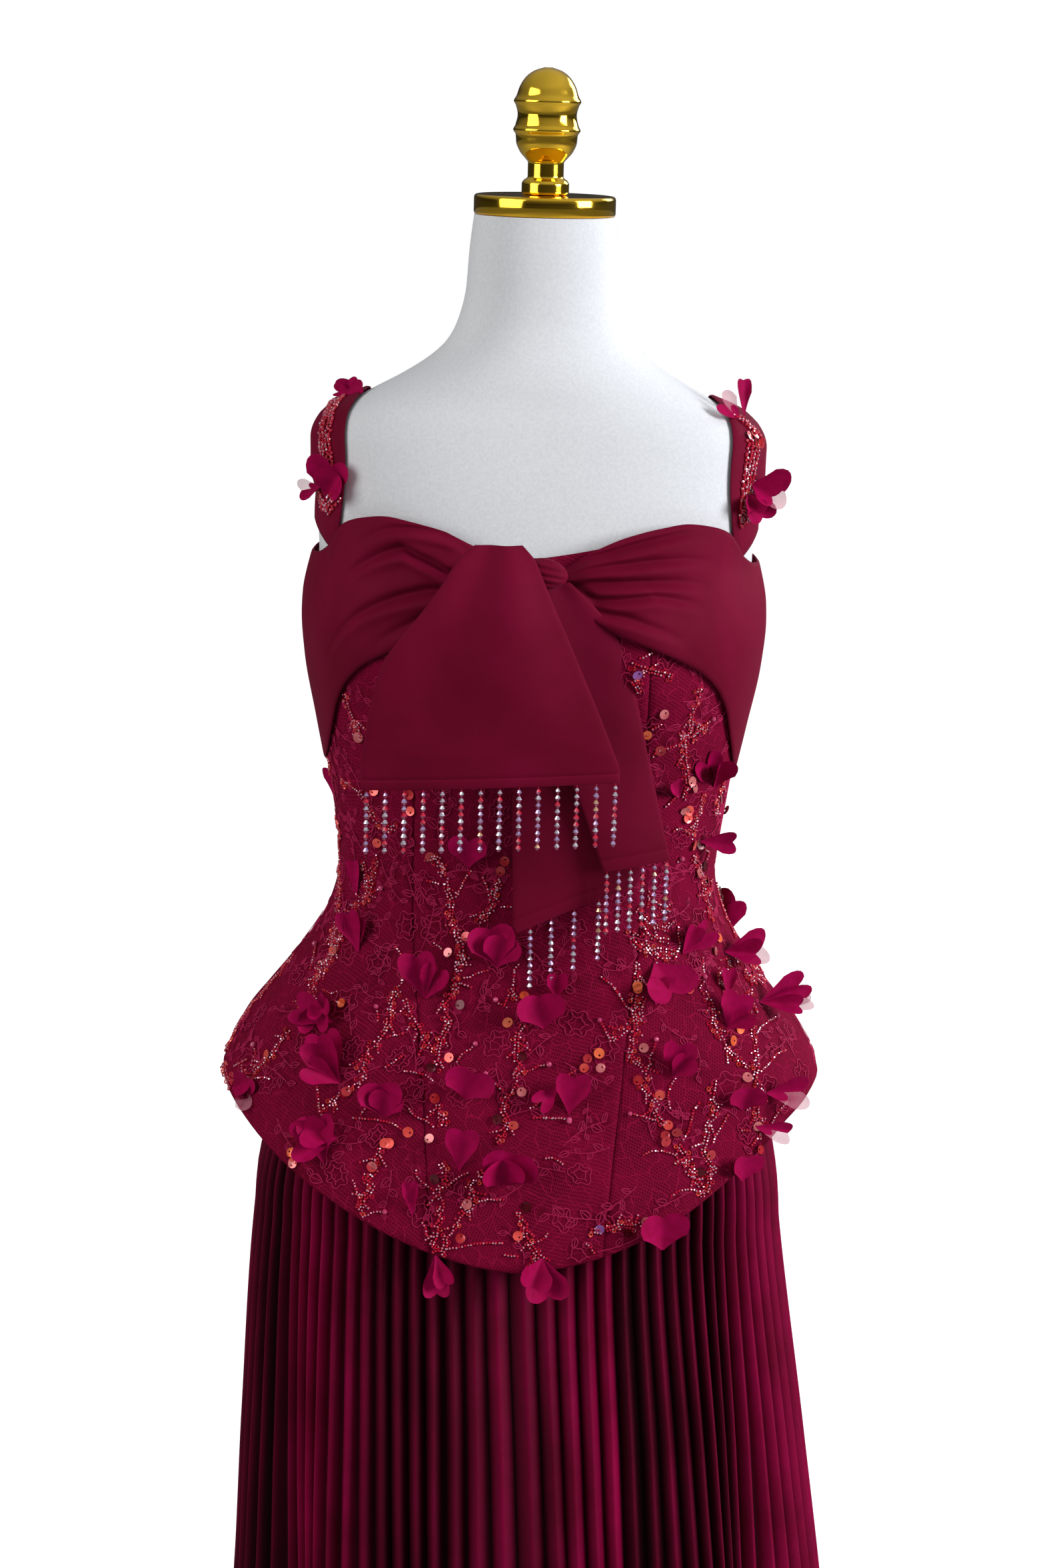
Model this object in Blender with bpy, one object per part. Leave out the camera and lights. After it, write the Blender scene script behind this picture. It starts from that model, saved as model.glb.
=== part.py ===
# Evening gown on a dress form: a lace corset bodice that flares into a peplum, a knotted satin bust band
# with three bead-fringed tails, two straps and a pleated skirt to the floor. The form is limbless, with a
# turned finial on its neck, and stands on a pole and a round base.
# Metres, +Z up. The origin is the middle of the base's underside, and the gown's front faces -Y.
# Angles run round the figure from its front, positive towards +X.

import bisect
import math

import bmesh
import bpy
from mathutils import Matrix, Vector
from mathutils.bvhtree import BVHTree

MM = 0.001
GAP = 0.3 * MM  # between neighbouring pieces

# Heights above the floor
NECK_TOP = 1592 * MM
WAIST = 1075 * MM
FORM_BOTTOM = 790 * MM

# Stand and neck fittings
BASE_RADIUS = 175 * MM
BASE_HEIGHT = 14 * MM
POLE_RADIUS = 16 * MM
CAP_RADIUS = 54.5 * MM
CAP_HEIGHT = 15 * MM

# Cloth
BODICE_INSIDE = 4.4 * MM  # out from the figure
BODICE_WALL = 2.3 * MM
SKIRT_WALL = 2.2 * MM
SATIN_WALL = 2.0 * MM
STRAP_WIDTH = 40 * MM
STRAP_LIFT = 1.6 * MM
STRAP_STANDS_OFF = 5 * MM  # at its outer edge, over the shoulder
PETAL_WALL = 1.2 * MM
ZIP_HALF_WIDTH = 1.8 * MM

# Bust shaping, a soft rise on each side of the front
CUP_X = 88 * MM
CUP_HEIGHT = 1262 * MM
CUP_SPREAD_X = 52 * MM
CUP_SPREAD_Z = 50 * MM
CUP_RISE = 14 * MM


class Table(list):
    """Rows with named columns, in order of the first column."""

    def __init__(self, columns, *rows):
        super().__init__(sorted((dict(zip(columns, row)) for row in rows), key=lambda row: row[columns[0]]))
        self.stops = [row[columns[0]] for row in self]
        self.curves = {}

    def curve(self, name):
        """A column's values and the slopes of a smooth curve through them."""
        if name not in self.curves:
            xs, ys = self.stops, [row[name] for row in self]
            steps = [(ys[k + 1] - ys[k]) / (xs[k + 1] - xs[k]) for k in range(len(xs) - 1)]
            inner = [2 * a * b / (a + b) if a * b > 0 else 0.0 for a, b in zip(steps, steps[1:])]
            self.curves[name] = ys, [steps[0], *inner, steps[-1]]
        return self.curves[name]


def read(rows, name, at):
    """The value of one column where the first column is `at`, on a smooth curve through the rows."""
    xs = rows.stops
    ys, slopes = rows.curve(name)
    if at <= xs[0] or at >= xs[-1]:
        return ys[0] if at <= xs[0] else ys[-1]
    k = bisect.bisect_right(xs, at) - 1
    step = xs[k + 1] - xs[k]
    t = (at - xs[k]) / step
    start, end = slopes[k] * step, slopes[k + 1] * step
    rise = ys[k + 1] - ys[k]
    return ys[k] + t * (start + t * ((3 * rise - 2 * start - end) + t * (start + end - 2 * rise)))


# The figure's horizontal sections, in millimetres; squareness 2 is an ellipse, more is squarer
FIGURE = Table(
    ("z", "half_width", "front", "back", "squareness"),
    (790, 184, 106, 120, 2.3),
    (830, 186, 109, 123, 2.3),
    (880, 183, 110, 122, 2.3),
    (930, 172, 107, 112, 2.3),
    (1000, 152, 101, 96, 2.3),
    (1075, 142, 95, 84, 2.3),
    (1140, 149, 99, 89, 2.3),
    (1200, 159, 107, 97, 2.3),
    (1250, 168, 116, 103, 2.3),
    (1285, 171, 117, 107, 2.3),
    (1330, 169, 111, 110, 2.35),
    (1375, 171, 101, 111, 2.75),
    (1420, 169, 91, 107, 2.8),
    (1438, 158, 87, 103, 2.75),
    (1453, 134, 83, 97, 2.6),
    (1468, 107, 80, 90, 2.45),
    (1482, 86, 75, 82, 2.35),
    (1496, 72, 68, 73, 2.3),
    (1513, 64, 62, 65, 2.3),
    (1535, 59, 59, 60, 2.3),
    (1565, 57, 57, 57, 2.3),
    (1592, 54, 54, 54, 2.3),
)

# How far the bodice stands out beyond its close fit, below the waist
PEPLUM = Table(
    ("z", "left", "right", "front", "back"),
    (780, 98, 56, 44, 46),
    (850, 84, 48, 30, 32),
    (890, 68, 48, 20, 23),
    (925, 58, 57, 14, 16),
    (956, 51, 50, 9, 10),
    (979, 40, 39, 6, 6),
    (1001, 28, 28, 4, 4),
    (1023, 16, 17, 2.4, 2.4),
    (1045, 7, 8, 1.2, 1.2),
    (1067, 2.5, 2.5, 0.4, 0.4),
    (1085, 0, 0, 0, 0),
)

# The bodice's upper edge round one side
NECKLINE = Table(
    ("degrees", "z"), (0, 1343), (10, 1350), (22, 1359), (34, 1363), (52, 1359), (72, 1344), (90, 1334), (130, 1330),
    (180, 1331),
)
HEM_FRONT, HEM_SIDE, HEM_BACK = 792, 921, 812

# The princess seam's distance from the centre line
PRINCESS = Table(("z", "x"), (780, 64), (880, 72), (960, 79), (1075, 88), (1270, 88), (1370, 84))
SIDE_SEAM = math.radians(88)
BACK_SEAM = math.radians(140)

# The knotted band's edges round one side, how far it stands out, and how deep its gathers are
BAND = Table(
    ("degrees", "lower", "upper", "out", "puff", "gather"),
    (0, 1316, 1333, 10.5, 1, 2.0),
    (5, 1310, 1337, 12.0, 2, 3.2),
    (10, 1302, 1350, 13.2, 4, 4.4),
    (17, 1291, 1361, 13.2, 5, 4.6),
    (25, 1281, 1367, 12.2, 6, 3.8),
    (33, 1271, 1370, 11.2, 6, 2.6),
    (43, 1257, 1368, 10.2, 6, 1.5),
    (51, 1241, 1364, 10.0, 4.5, 1.0),
    (58, 1222, 1358, 9.6, 3.5, 0.6),
    (66, 1196, 1350, 9.0, 2.5, 0.2),
    (75, 1176, 1345, 8.4, 1.8, 0),
    (90, 1163, 1340, 8.0, 1.4, 0),
    (130, 1172, 1337, 8.0, 3, 0),
    (180, 1184, 1338, 8.0, 3, 0),
)
GATHERS = 2.5

# How far the skirt's valleys lie out from the figure, its pleats' depth, and its sway to the right
SKIRT = Table(
    ("z", "left", "right", "front", "back", "pleat", "sway"),
    (12, 96, 99, 106, 98, 15, 24),
    (330, 61, 63, 76, 70, 12.5, 18),
    (480, 48, 49.5, 59, 55, 11.5, 14),
    (620, 36.5, 36.5, 42, 40, 10.5, 7),
    (820, 17.5, 17.5, 14, 14, 8, -2),
    (930, 4.5, 4.5, 4.5, 4.5, 5, 0),
    (985, 1.8, 1.8, 1.6, 1.6, 3, 0),
    (1030, 1.1, 1.1, 0.9, 0.9, 1, 0),
    (1060, 0.9, 0.9, 0.9, 0.9, 0.3, 0),
    (1078, 0.9, 0.9, 0.9, 0.9, 0, 0),
)
SKIRT_ROWS = (1078, 1038, 980, 900, 790, 560, 12)
PLEATS = {"skirt_front": 26, "skirt_right": 17, "skirt_back": 24, "skirt_left": 17}
SKIRT_SEAMS = (-56, 54, 128, 236)
# Deep folds that the skirt falls into: angle, half-width and depth
SKIRT_FOLDS = Table(("degrees", "spread", "depth"), (-55, 9, 17), (-18, 8, 4), (20, 8, 5), (53, 9, 20),
                    (100, 10, 12), (150, 10, 14), (195, 11, 12), (255, 10, 13))

# Tails of the band, top to bottom: edges, and distance in front of the axis in the middle
TAIL_FRONT = Table(
    ("z", "left", "right", "front"),
    (1171, -126, 67, 159),
    (1190, -127.5, 67, 161),
    (1205, -125, 62, 163),
    (1237, -120, 49, 166),
    (1268, -112, 35.5, 168.5),
    (1290, -98, 26, 169),
    (1305, -86, 19, 168.5),
    (1335, -65, 5.5, 163),
    (1347, -58, 0, 158),
    (1358, -45, -10, 151),
)
TAIL_RIGHT = Table(
    ("z", "left", "right", "front"),
    (1105, 58, 111, 133),
    (1150, 42, 100, 138),
    (1200, 21, 88, 143),
    (1250, 6, 76, 147),
    (1285, 4, 64, 149),
    (1305, 4, 50, 149),
    (1329, 6, 26, 146),
)
TAIL_BACK = Table(
    ("z", "left", "right", "front"),
    (1052, -10, 67, 125),
    (1110, -11.5, 88, 127),
    (1160, -13, 78, 131),
    (1230, -8, 52, 136),
    (1290, 0, 30, 139),
    (1325, 3, 22, 139),
)
KNOT_CENTRE = (5, -150, 1338)
KNOT_SIZE = (38, 20, 27)
SEAT_GAP = 0.7 * MM  # between the knot, the tails and what they hang from

FRINGE_LENGTH = 48 * MM
FRINGE_HEAD = 3 * MM
STRAND_HALF = 2.1 * MM

# Chiffon petals sewn on the bodice, and the way each points: 0 is up, 90 towards rising angles
PETALS = Table(
    ("degrees", "z", "length", "points"),
    (-88, 1146, 26, 245),
    (-70, 1068, 28, 0),
    (-60, 1036, 32, 20),
    (-70, 960, 34, 40),
    (-62, 990, 28, 40),
    (-50, 948, 42, 330),
    (-62, 908, 30, 300),
    (-32, 922, 38, 10),
    (-44, 886, 40, 60),
    (-28, 1016, 38, 5),
    (-8, 1038, 38, 60),
    (-16, 1106, 34, 20),
    (2, 996, 40, 10),
    (-14, 936, 38, 50),
    (-12, 888, 34, 15),
    (-2, 872, 42, 20),
    (-22, 846, 28, 180),
    (-14, 806, 34, 178),
    (4, 806, 32, 130),
    (27, 832, 36, 190),
    (8, 930, 40, 10),
    (35, 956, 34, 20),
    (38, 1006, 40, 30),
    (62, 984, 36, 10),
    (57, 1166, 32, 100),
    (62, 1112, 24, 75),
    (54, 1044, 32, 40),
    (82, 1022, 32, 60),
    (76, 954, 36, 30),
    (50, 926, 36, 50),
    (66, 926, 30, 75),
    (45, 876, 38, 60),
    (112, 1010, 36, 20),
    (136, 962, 38, 340),
    (150, 872, 34, 160),
    (163, 986, 38, 300),
    (168, 1128, 32, 20),
    (172, 902, 38, 40),
    (196, 946, 38, 30),
    (206, 868, 34, 200),
    (224, 992, 38, 20),
    (244, 1056, 32, 350),
)

MATERIALS = {
    "lace": ((0.27, 0.012, 0.045), 0.75, 0.0),
    "satin": ((0.25, 0.01, 0.05), 0.45, 0.0),
    "crystal": ((0.5, 0.3, 0.4), 0.15, 0.0),
    "form_cloth": ((0.78, 0.79, 0.82), 0.85, 0.0),
    "gold": ((0.93, 0.68, 0.16), 0.15, 1.0),
}


def clear_scene():
    for thing in list(bpy.data.objects):
        bpy.data.objects.remove(thing)


def material(name):
    found = bpy.data.materials.get(name)
    if found:
        return found
    colour, roughness, metallic = MATERIALS[name]
    made = bpy.data.materials.new(name)
    made.use_nodes = True
    shader = made.node_tree.nodes["Principled BSDF"]
    shader.inputs["Base Color"].default_value = (*colour, 1.0)
    shader.inputs["Roughness"].default_value = roughness
    shader.inputs["Metallic"].default_value = metallic
    return made


def add_object(name, bm, finish, smooth_degrees=40):
    """Puts a closed bmesh into the scene as a named object with its faces pointing out."""
    bmesh.ops.recalc_face_normals(bm, faces=bm.faces[:])
    mesh = bpy.data.meshes.new(name)
    bm.to_mesh(mesh)
    bm.free()
    mesh.materials.append(material(finish))
    mesh.shade_smooth()
    mesh.set_sharp_from_angle(angle=math.radians(smooth_degrees))
    made = bpy.data.objects.new(name, mesh)
    bpy.context.scene.collection.objects.link(made)
    return made


def signed_power(value, power):
    return math.copysign(abs(value) ** power, value)


def figure_section(angle, z):
    """A point of the figure's horizontal section at height z."""
    level = z / MM
    half_width = read(FIGURE, "half_width", level) * MM
    depth = read(FIGURE, "front" if math.cos(angle) > 0 else "back", level) * MM
    power = 2 / read(FIGURE, "squareness", level)
    x = half_width * signed_power(math.sin(angle), power)
    y = -depth * signed_power(math.cos(angle), power)
    if y < 0:
        across = (abs(x) - CUP_X) / CUP_SPREAD_X
        along = (z - CUP_HEIGHT) / CUP_SPREAD_Z
        y -= CUP_RISE * math.exp(-across * across - along * along) * min(1.0, -y / (60 * MM))
    return x, y


def figure_point(angle, z, out=0.0, section_z=None):
    """A point moved straight out from the figure, level with z. section_z takes another height's section."""
    level = z if section_z is None else section_z
    step = 0.004
    x0, y0 = figure_section(angle - step, level)
    x1, y1 = figure_section(angle + step, level)
    length = math.hypot(x1 - x0, y1 - y0)
    x, y = figure_section(angle, level)
    return Vector((x + out * (y1 - y0) / length, y - out * (x1 - x0) / length, z))


def round_blend(rows, angle, z):
    """A table's left, right, front and back columns blended for this angle, in metres."""
    level = z / MM
    sideways = abs(math.sin(angle)) ** 2.2
    ends = read(rows, "front" if math.cos(angle) > 0 else "back", level)
    side = read(rows, "right" if math.sin(angle) > 0 else "left", level)
    return (side * sideways + ends * (1 - sideways)) * MM


def fold_angle(angle):
    """The same angle from 0 at the front to 180 degrees at the back, either side."""
    return abs((angle + math.pi) % math.tau - math.pi)


def bodice_point(angle, z, depth):
    """On the bodice, depth from 0 on its inner face to 1 on its outer face."""
    return figure_point(angle, z, BODICE_INSIDE + round_blend(PEPLUM, angle, z) + depth * BODICE_WALL)


def neckline(angle):
    return read(NECKLINE, "z", math.degrees(fold_angle(angle))) * MM


def peplum_hem(angle):
    turn = fold_angle(angle)
    low = HEM_FRONT if turn < math.pi / 2 else HEM_BACK
    rise = 0.72 * math.sin(turn) ** 2 + 0.28 * (1 - abs(turn - math.pi / 2) / (math.pi / 2))
    return (low + (HEM_SIDE - low) * rise) * MM


def angle_at_x(x, z):
    """The front angle at which the bodice is this far from the centre line."""
    low, high = 0.0, math.pi / 2
    for _ in range(30):
        middle = (low + high) / 2
        if bodice_point(middle, z, 0.5).x < x:
            low = middle
        else:
            high = middle
    return low


def grid_faces(bm, rows, closed=False, flip=False):
    """Quads between rows of vertices. Returns them as {(row, column): face}."""
    faces = {}
    columns = len(rows[0])
    for i in range(len(rows) - 1):
        for j in range(columns if closed else columns - 1):
            k = (j + 1) % columns
            corners = [rows[i][j], rows[i + 1][j], rows[i + 1][k], rows[i][k]]
            faces[i, j] = bm.faces.new(corners[::-1] if flip else corners)
    return faces


def wall_mesh(outer_points, inner_points):
    """A closed wall between two open grids of points. Returns the bmesh, the outer vertices and faces."""
    bm = bmesh.new()
    outer = [[bm.verts.new(p) for p in row] for row in outer_points]
    inner = [[bm.verts.new(p) for p in row] for row in inner_points]
    faces = grid_faces(bm, outer)
    grid_faces(bm, inner, flip=True)
    edge_out = [*outer[0], *(row[-1] for row in outer[1:]), *outer[-1][-2::-1], *(row[0] for row in outer[-2:0:-1])]
    edge_in = [*inner[0], *(row[-1] for row in inner[1:]), *inner[-1][-2::-1], *(row[0] for row in inner[-2:0:-1])]
    for k in range(len(edge_out)):
        n = (k + 1) % len(edge_out)
        bm.faces.new((edge_out[k], edge_out[n], edge_in[n], edge_in[k]))
    return bm, outer, faces


def spaced(start, end, count):
    return [start + (end - start) * k / count for k in range(count + 1)]


def join_root(bm, corners, root):
    """Faces between a quad's corners and a petal's root inside it, turned to the nearest corners."""
    ends = (0, 5, 3, 2)
    middles = {(5, 3): 4, (2, 0): 1}

    def reach(turn):
        return sum((corners[k].co - root[ends[(k + turn) % 4]].co).length for k in range(4))

    turn = min(range(4), key=reach)
    for k in range(4):
        near, far = ends[(k + turn) % 4], ends[(k + 1 + turn) % 4]
        between = [root[middles[near, far]]] if (near, far) in middles else []
        bm.faces.new([corners[k], corners[(k + 1) % 4], root[far], *between, root[near]])


# A petal's stations from its root: share of its length, half-width as a share of its length
PETAL_STATIONS = ((0.5, 0.36), (0.95, 0.30))
PETAL_ROOT = 3.0 * MM
PETAL_LEAN = math.radians(40)
PETAL_FOLD = 0.42
PETAL_NOTCH = 0.86


def raise_petal(bm, face, along, length):
    """Grows a folded two-lobed petal out of a face of a wall."""
    corners = face.verts[:]
    centre = face.calc_center_median()
    normal = face.normal.copy()
    along = (along - normal * along.dot(normal)).normalized()
    side = normal.cross(along)
    bm.faces.remove(face)
    half_wall = PETAL_WALL / 2
    ways = ((-1, 1), (0, 1), (1, 1), (1, -1), (0, -1), (-1, -1))
    ring = [bm.verts.new(centre + side * w * PETAL_ROOT - along * s * half_wall) for w, s in ways]
    join_root(bm, corners, ring)
    reach = along * math.cos(PETAL_LEAN) + normal * math.sin(PETAL_LEAN)
    up = normal * math.cos(PETAL_LEAN) - along * math.sin(PETAL_LEAN)
    for share, half in PETAL_STATIONS:
        above = []
        for w, s in ways:
            tip = share * (PETAL_NOTCH if w == 0 else 1.0)
            lift = abs(w) * PETAL_FOLD * half * length + s * half_wall
            above.append(bm.verts.new(centre + reach * tip * length + side * w * half * length + up * lift))
        for k in range(6):
            n = (k + 1) % 6
            bm.faces.new((ring[k], ring[n], above[n], above[k]))
        ring = above
    bm.faces.new((ring[0], ring[1], ring[4], ring[5]))
    bm.faces.new((ring[1], ring[2], ring[3], ring[4]))


def wrapped(angle):
    return (angle + math.pi) % math.tau - math.pi


def sew_petals(bm, outer, faces):
    """Raises each petal of the table whose place lies on this wall, each from the nearest free face."""
    taken = set()
    for petal in PETALS:
        place = bodice_point(math.radians(petal["degrees"]), petal["z"] * MM, 1.0)
        centres = {key: face.calc_center_median() for key, face in faces.items() if key not in taken}
        key = min(centres, key=lambda k: (centres[k] - place).length)
        face = faces[key]
        reach = max((v.co - centres[key]).length for v in face.verts)
        if (centres[key] - place).length > reach:
            continue
        taken.add(key)
        i, j = key
        down = (outer[i + 1][j].co - outer[i][j].co).normalized()
        across = (outer[i][j + 1].co - outer[i][j].co).normalized()
        points = math.radians(petal["points"])
        face.normal_update()
        raise_petal(bm, face, across * math.sin(points) - down * math.cos(points), petal["length"] * MM)


BODICE_ROWS = 13


def bodice_panel(name, start, end, columns):
    """A panel of the corset between two seams. start and end give the seam's angle at a height."""
    shares = spaced(0.0, 1.0, columns)
    outer, inner = [], []
    for v in spaced(0.0, 1.0, BODICE_ROWS):
        for points, depth in ((outer, 1.0), (inner, 0.0)):
            row = []
            for share in shares:
                angle = start(WAIST) + (end(WAIST) - start(WAIST)) * share
                for _ in range(4):
                    z = neckline(angle) + (peplum_hem(angle) - neckline(angle)) * v
                    angle = start(z) + (end(z) - start(z)) * share
                row.append(bodice_point(angle, z, depth))
            points.append(row)
    bm, outer_verts, faces = wall_mesh(outer, inner)
    sew_petals(bm, outer_verts, faces)
    return add_object(name, bm, "lace")


def seam_gap(z):
    """Half of a seam's gap, as an angle round the figure."""
    return GAP / 2 / (150 * MM)


def build_bodice():
    zip_room = ZIP_HALF_WIDTH + GAP

    def princess(z):
        return angle_at_x(read(PRINCESS, "x", z / MM) * MM, z)

    def back_edge(z):
        reach = bodice_point(math.pi - 0.1, z, 0.5).x
        return math.pi - 0.1 * zip_room / reach if reach > 0 else math.pi - 0.02

    panels = {
        "bodice_centre_front": (lambda z: -princess(z) + seam_gap(z), lambda z: princess(z) - seam_gap(z), 8),
        "bodice_side_front_right": (lambda z: princess(z) + seam_gap(z), lambda z: SIDE_SEAM - seam_gap(z), 9),
        "bodice_side_back_right": (lambda z: SIDE_SEAM + seam_gap(z), lambda z: BACK_SEAM - seam_gap(z), 6),
        "bodice_back_right": (lambda z: BACK_SEAM + seam_gap(z), back_edge, 5),
        "bodice_side_front_left": (lambda z: -SIDE_SEAM + seam_gap(z), lambda z: -princess(z) - seam_gap(z), 9),
        "bodice_side_back_left": (lambda z: -BACK_SEAM + seam_gap(z), lambda z: -SIDE_SEAM - seam_gap(z), 6),
        "bodice_back_left": (lambda z: -back_edge(z), lambda z: -BACK_SEAM - seam_gap(z), 5),
    }
    return [bodice_panel(name, *shape) for name, shape in panels.items()]


def build_zip():
    """The closed zip in the centre back seam, from the neckline to the hem."""
    outer, inner = [], []
    for z in spaced(neckline(math.pi), peplum_hem(math.pi), 12):
        back = bodice_point(math.pi, z, 0.5)
        for points, out in ((outer, 0.9 * MM), (inner, -0.7 * MM)):
            points.append([Vector((x, back.y + out, z)) for x in (ZIP_HALF_WIDTH, 0, -ZIP_HALF_WIDTH)])
    bm, _, _ = wall_mesh(outer, inner)
    add_object("back_zip", bm, "satin")


def band_point(angle, across, depth, side):
    """On the bust band, across from 0 on its upper edge to 1 on its lower edge."""
    degrees = math.degrees(angle)
    upper, lower = read(BAND, "upper", degrees), read(BAND, "lower", degrees)
    z = (upper + (lower - upper) * across) * MM
    puff = read(BAND, "puff", degrees) * MM * math.sin(math.pi * across) ** 0.8
    phase = 0.3 if side > 0 else 0.9
    gather = read(BAND, "gather", degrees) * MM * math.cos(math.tau * (GATHERS * across + phase))
    out = read(BAND, "out", degrees) * MM + puff + gather + depth * SATIN_WALL
    point = figure_point(angle, z, out)
    return Vector((side * point.x, point.y, point.z))


def build_band(name, side):
    start, end = 0.03, 180 - math.degrees(GAP / (100 * MM))
    first = [start + (60 - start) * (k / 11) ** 1.1 for k in range(12)]
    angles = [math.radians(d) for d in [*first, *spaced(60, end, 12)[1:]]]
    if side < 0:
        angles.reverse()
    acrosses = spaced(0.0, 1.0, 8)
    outer = [[band_point(a, t, 1.0, side) for a in angles] for t in acrosses]
    inner = [[band_point(a, t, 0.0, side) for a in angles] for t in acrosses]
    bm, _, _ = wall_mesh(outer, inner)
    return add_object(name, bm, "satin")


def build_knot():
    bm = bmesh.new()
    bmesh.ops.create_uvsphere(bm, u_segments=16, v_segments=8, radius=0.5)
    width, depth, height = (size * MM for size in KNOT_SIZE)
    for vert in bm.verts:
        x, y, z = vert.co
        crease = 1 - 0.08 * math.cos(22 * z + 6 * x)
        vert.co = Vector((x * width, y * depth * crease, z * height)) + Vector(KNOT_CENTRE) * MM
    return add_object("knot", bm, "satin")


def tail_point(rows, v, u, depth, folds):
    """On a tail, v from 0 at its top to 1 at its foot, u from 0 at its left edge to 1 at its right."""
    top, foot = rows[-1]["z"], rows[0]["z"]
    count, height, slant = folds
    level = top + (foot + slant * u - top) * v
    left, right = read(rows, "left", level), read(rows, "right", level)
    x = left + (right - left) * u
    curve = 26 * (u - 0.5) ** 2 * min(1.0, (right - left) / 120)
    wave = height * math.cos(math.tau * count * u) * math.sin(math.pi * min(1.0, 0.15 + v)) ** 0.5
    y = -read(rows, "front", level) + curve - wave - depth * SATIN_WALL / MM
    return Vector((x, y, level)) * MM


def build_tail(name, rows, columns, lengths, folds):
    shares_v, shares_u = spaced(0.0, 1.0, lengths), spaced(0.0, 1.0, columns)
    outer = [[tail_point(rows, v, u, 1.0, folds) for u in shares_u] for v in shares_v]
    inner = [[tail_point(rows, v, u, 0.0, folds) for u in shares_u] for v in shares_v]
    bm, _, _ = wall_mesh(outer, inner)
    return add_object(name, bm, "satin")


def build_fringe(name, rows, strands, folds, first_u=0.02, last_u=0.985):
    """Bead strands fused to a narrow head, which lies just under a tail's foot."""
    bm = bmesh.new()
    middles = spaced(first_u, last_u, strands - 1)
    span = (rows[0]["right"] - rows[0]["left"]) * MM
    half = STRAND_HALF / span
    stops = sorted(m + s * half for m in middles for s in (-1, 1))
    corners = []
    for u in stops:
        face = tail_point(rows, 1.0, u, 0.5, folds)
        row = []
        for dy, dz in ((-1.2, 0), (1.2, 0), (1.2, -1), (-1.2, -1)):
            head = Vector((0, dy * MM, -GAP * 2 + dz * FRINGE_HEAD))
            row.append(bm.verts.new(face + head))
        corners.append(row)
    for a, b in zip(corners, corners[1:]):
        for k in range(3):
            if k != 2:
                bm.faces.new((a[k], b[k], b[k + 1], a[k + 1]))
        bm.faces.new((a[3], b[3], b[0], a[0]))
    bm.faces.new(corners[0])
    bm.faces.new(corners[-1][::-1])
    for k in range(0, len(corners) - 1):
        a, b = corners[k], corners[k + 1]
        ring = [a[2], b[2], b[3], a[3]]
        if k % 2 == 1:
            bm.faces.new(ring)
            continue
        middle = sum((vert.co for vert in ring), Vector()) / 4
        for share, wide in ((0.3, 1.0), (0.7, 0.9), (1.0, 0.55)):
            centre = middle - Vector((0, 0, FRINGE_LENGTH * share))
            below = []
            for vert in ring:
                reach = vert.co - sum((v.co for v in ring), Vector()) / 4
                reach.z = 0
                below.append(bm.verts.new(centre + reach * (wide if share < 1 else 0.6)))
            for n in range(4):
                m = (n + 1) % 4
                bm.faces.new((ring[n], ring[m], below[m], below[n]))
            ring = below
        bm.faces.new(ring)
    return add_object(name, bm, "crystal", smooth_degrees=20)


def samples(thing):
    """A piece's corners, points along its edges and the middles of its faces."""
    mesh = thing.data
    corners = [vert.co for vert in mesh.vertices]
    ends = [(corners[edge.vertices[0]], corners[edge.vertices[1]]) for edge in mesh.edges]
    along = [a.lerp(b, share) for a, b in ends for share in (0.2, 0.4, 0.6, 0.8)]
    return corners + along + [face.center for face in mesh.polygons]


def seat(pieces, carriers):
    """Slides pieces along Y until the first of them lies just in front of what carries it."""
    far = Vector((0, 2, 0))
    first = BVHTree.FromPolygons(
        [vert.co for vert in pieces[0].data.vertices], [face.vertices for face in pieces[0].data.polygons]
    )
    rooms = []
    for carrier in carriers:
        tree = BVHTree.FromPolygons(
            [vert.co for vert in carrier.data.vertices], [face.vertices for face in carrier.data.polygons]
        )
        for spot in samples(pieces[0]):
            front = tree.ray_cast(spot - far, Vector((0, 1, 0)))[0]
            if front:
                rooms.append(front.y - spot.y)
        for spot in samples(carrier):
            back = first.ray_cast(spot + far, Vector((0, -1, 0)))[0]
            if back:
                rooms.append(spot.y - back.y)
    shift = Matrix.Translation((0, min(rooms) - SEAT_GAP, 0))
    for piece in pieces:
        piece.data.transform(shift)


def inside_figure(point):
    level = point.z / MM
    half_width = read(FIGURE, "half_width", level) * MM
    depth = read(FIGURE, "front" if point.y < 0 else "back", level) * MM
    power = read(FIGURE, "squareness", level)
    if point.z > NECK_TOP:
        return False
    return abs(point.x / half_width) ** power + abs(point.y / depth) ** power < 1


SHOULDER_CORE = (112, 4, 1382)  # a point inside the shoulder, from which the strap's path is seen
STRAP_PATH = Table(
    ("degrees", "outward"), (-24, 41), (0, 40), (40, 38), (90, 33), (140, 25), (180, 15), (204, 10)
)


def on_shoulder(direction):
    """Where a ray from inside the shoulder leaves the figure."""
    core = Vector(SHOULDER_CORE) * MM
    low, high = 0.0, 0.25
    for _ in range(26):
        middle = (low + high) / 2
        if inside_figure(core + direction * middle):
            low = middle
        else:
            high = middle
    return core + direction * low


def strap_centre(turn):
    """The middle of the strap on the figure: turn 0 is the front, 90 the top, 180 the back."""
    outward = math.radians(read(STRAP_PATH, "outward", turn))
    a = math.radians(turn)
    flat = math.cos(outward)
    return on_shoulder(Vector((math.sin(outward), -flat * math.cos(a), flat * math.sin(a))))


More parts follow.
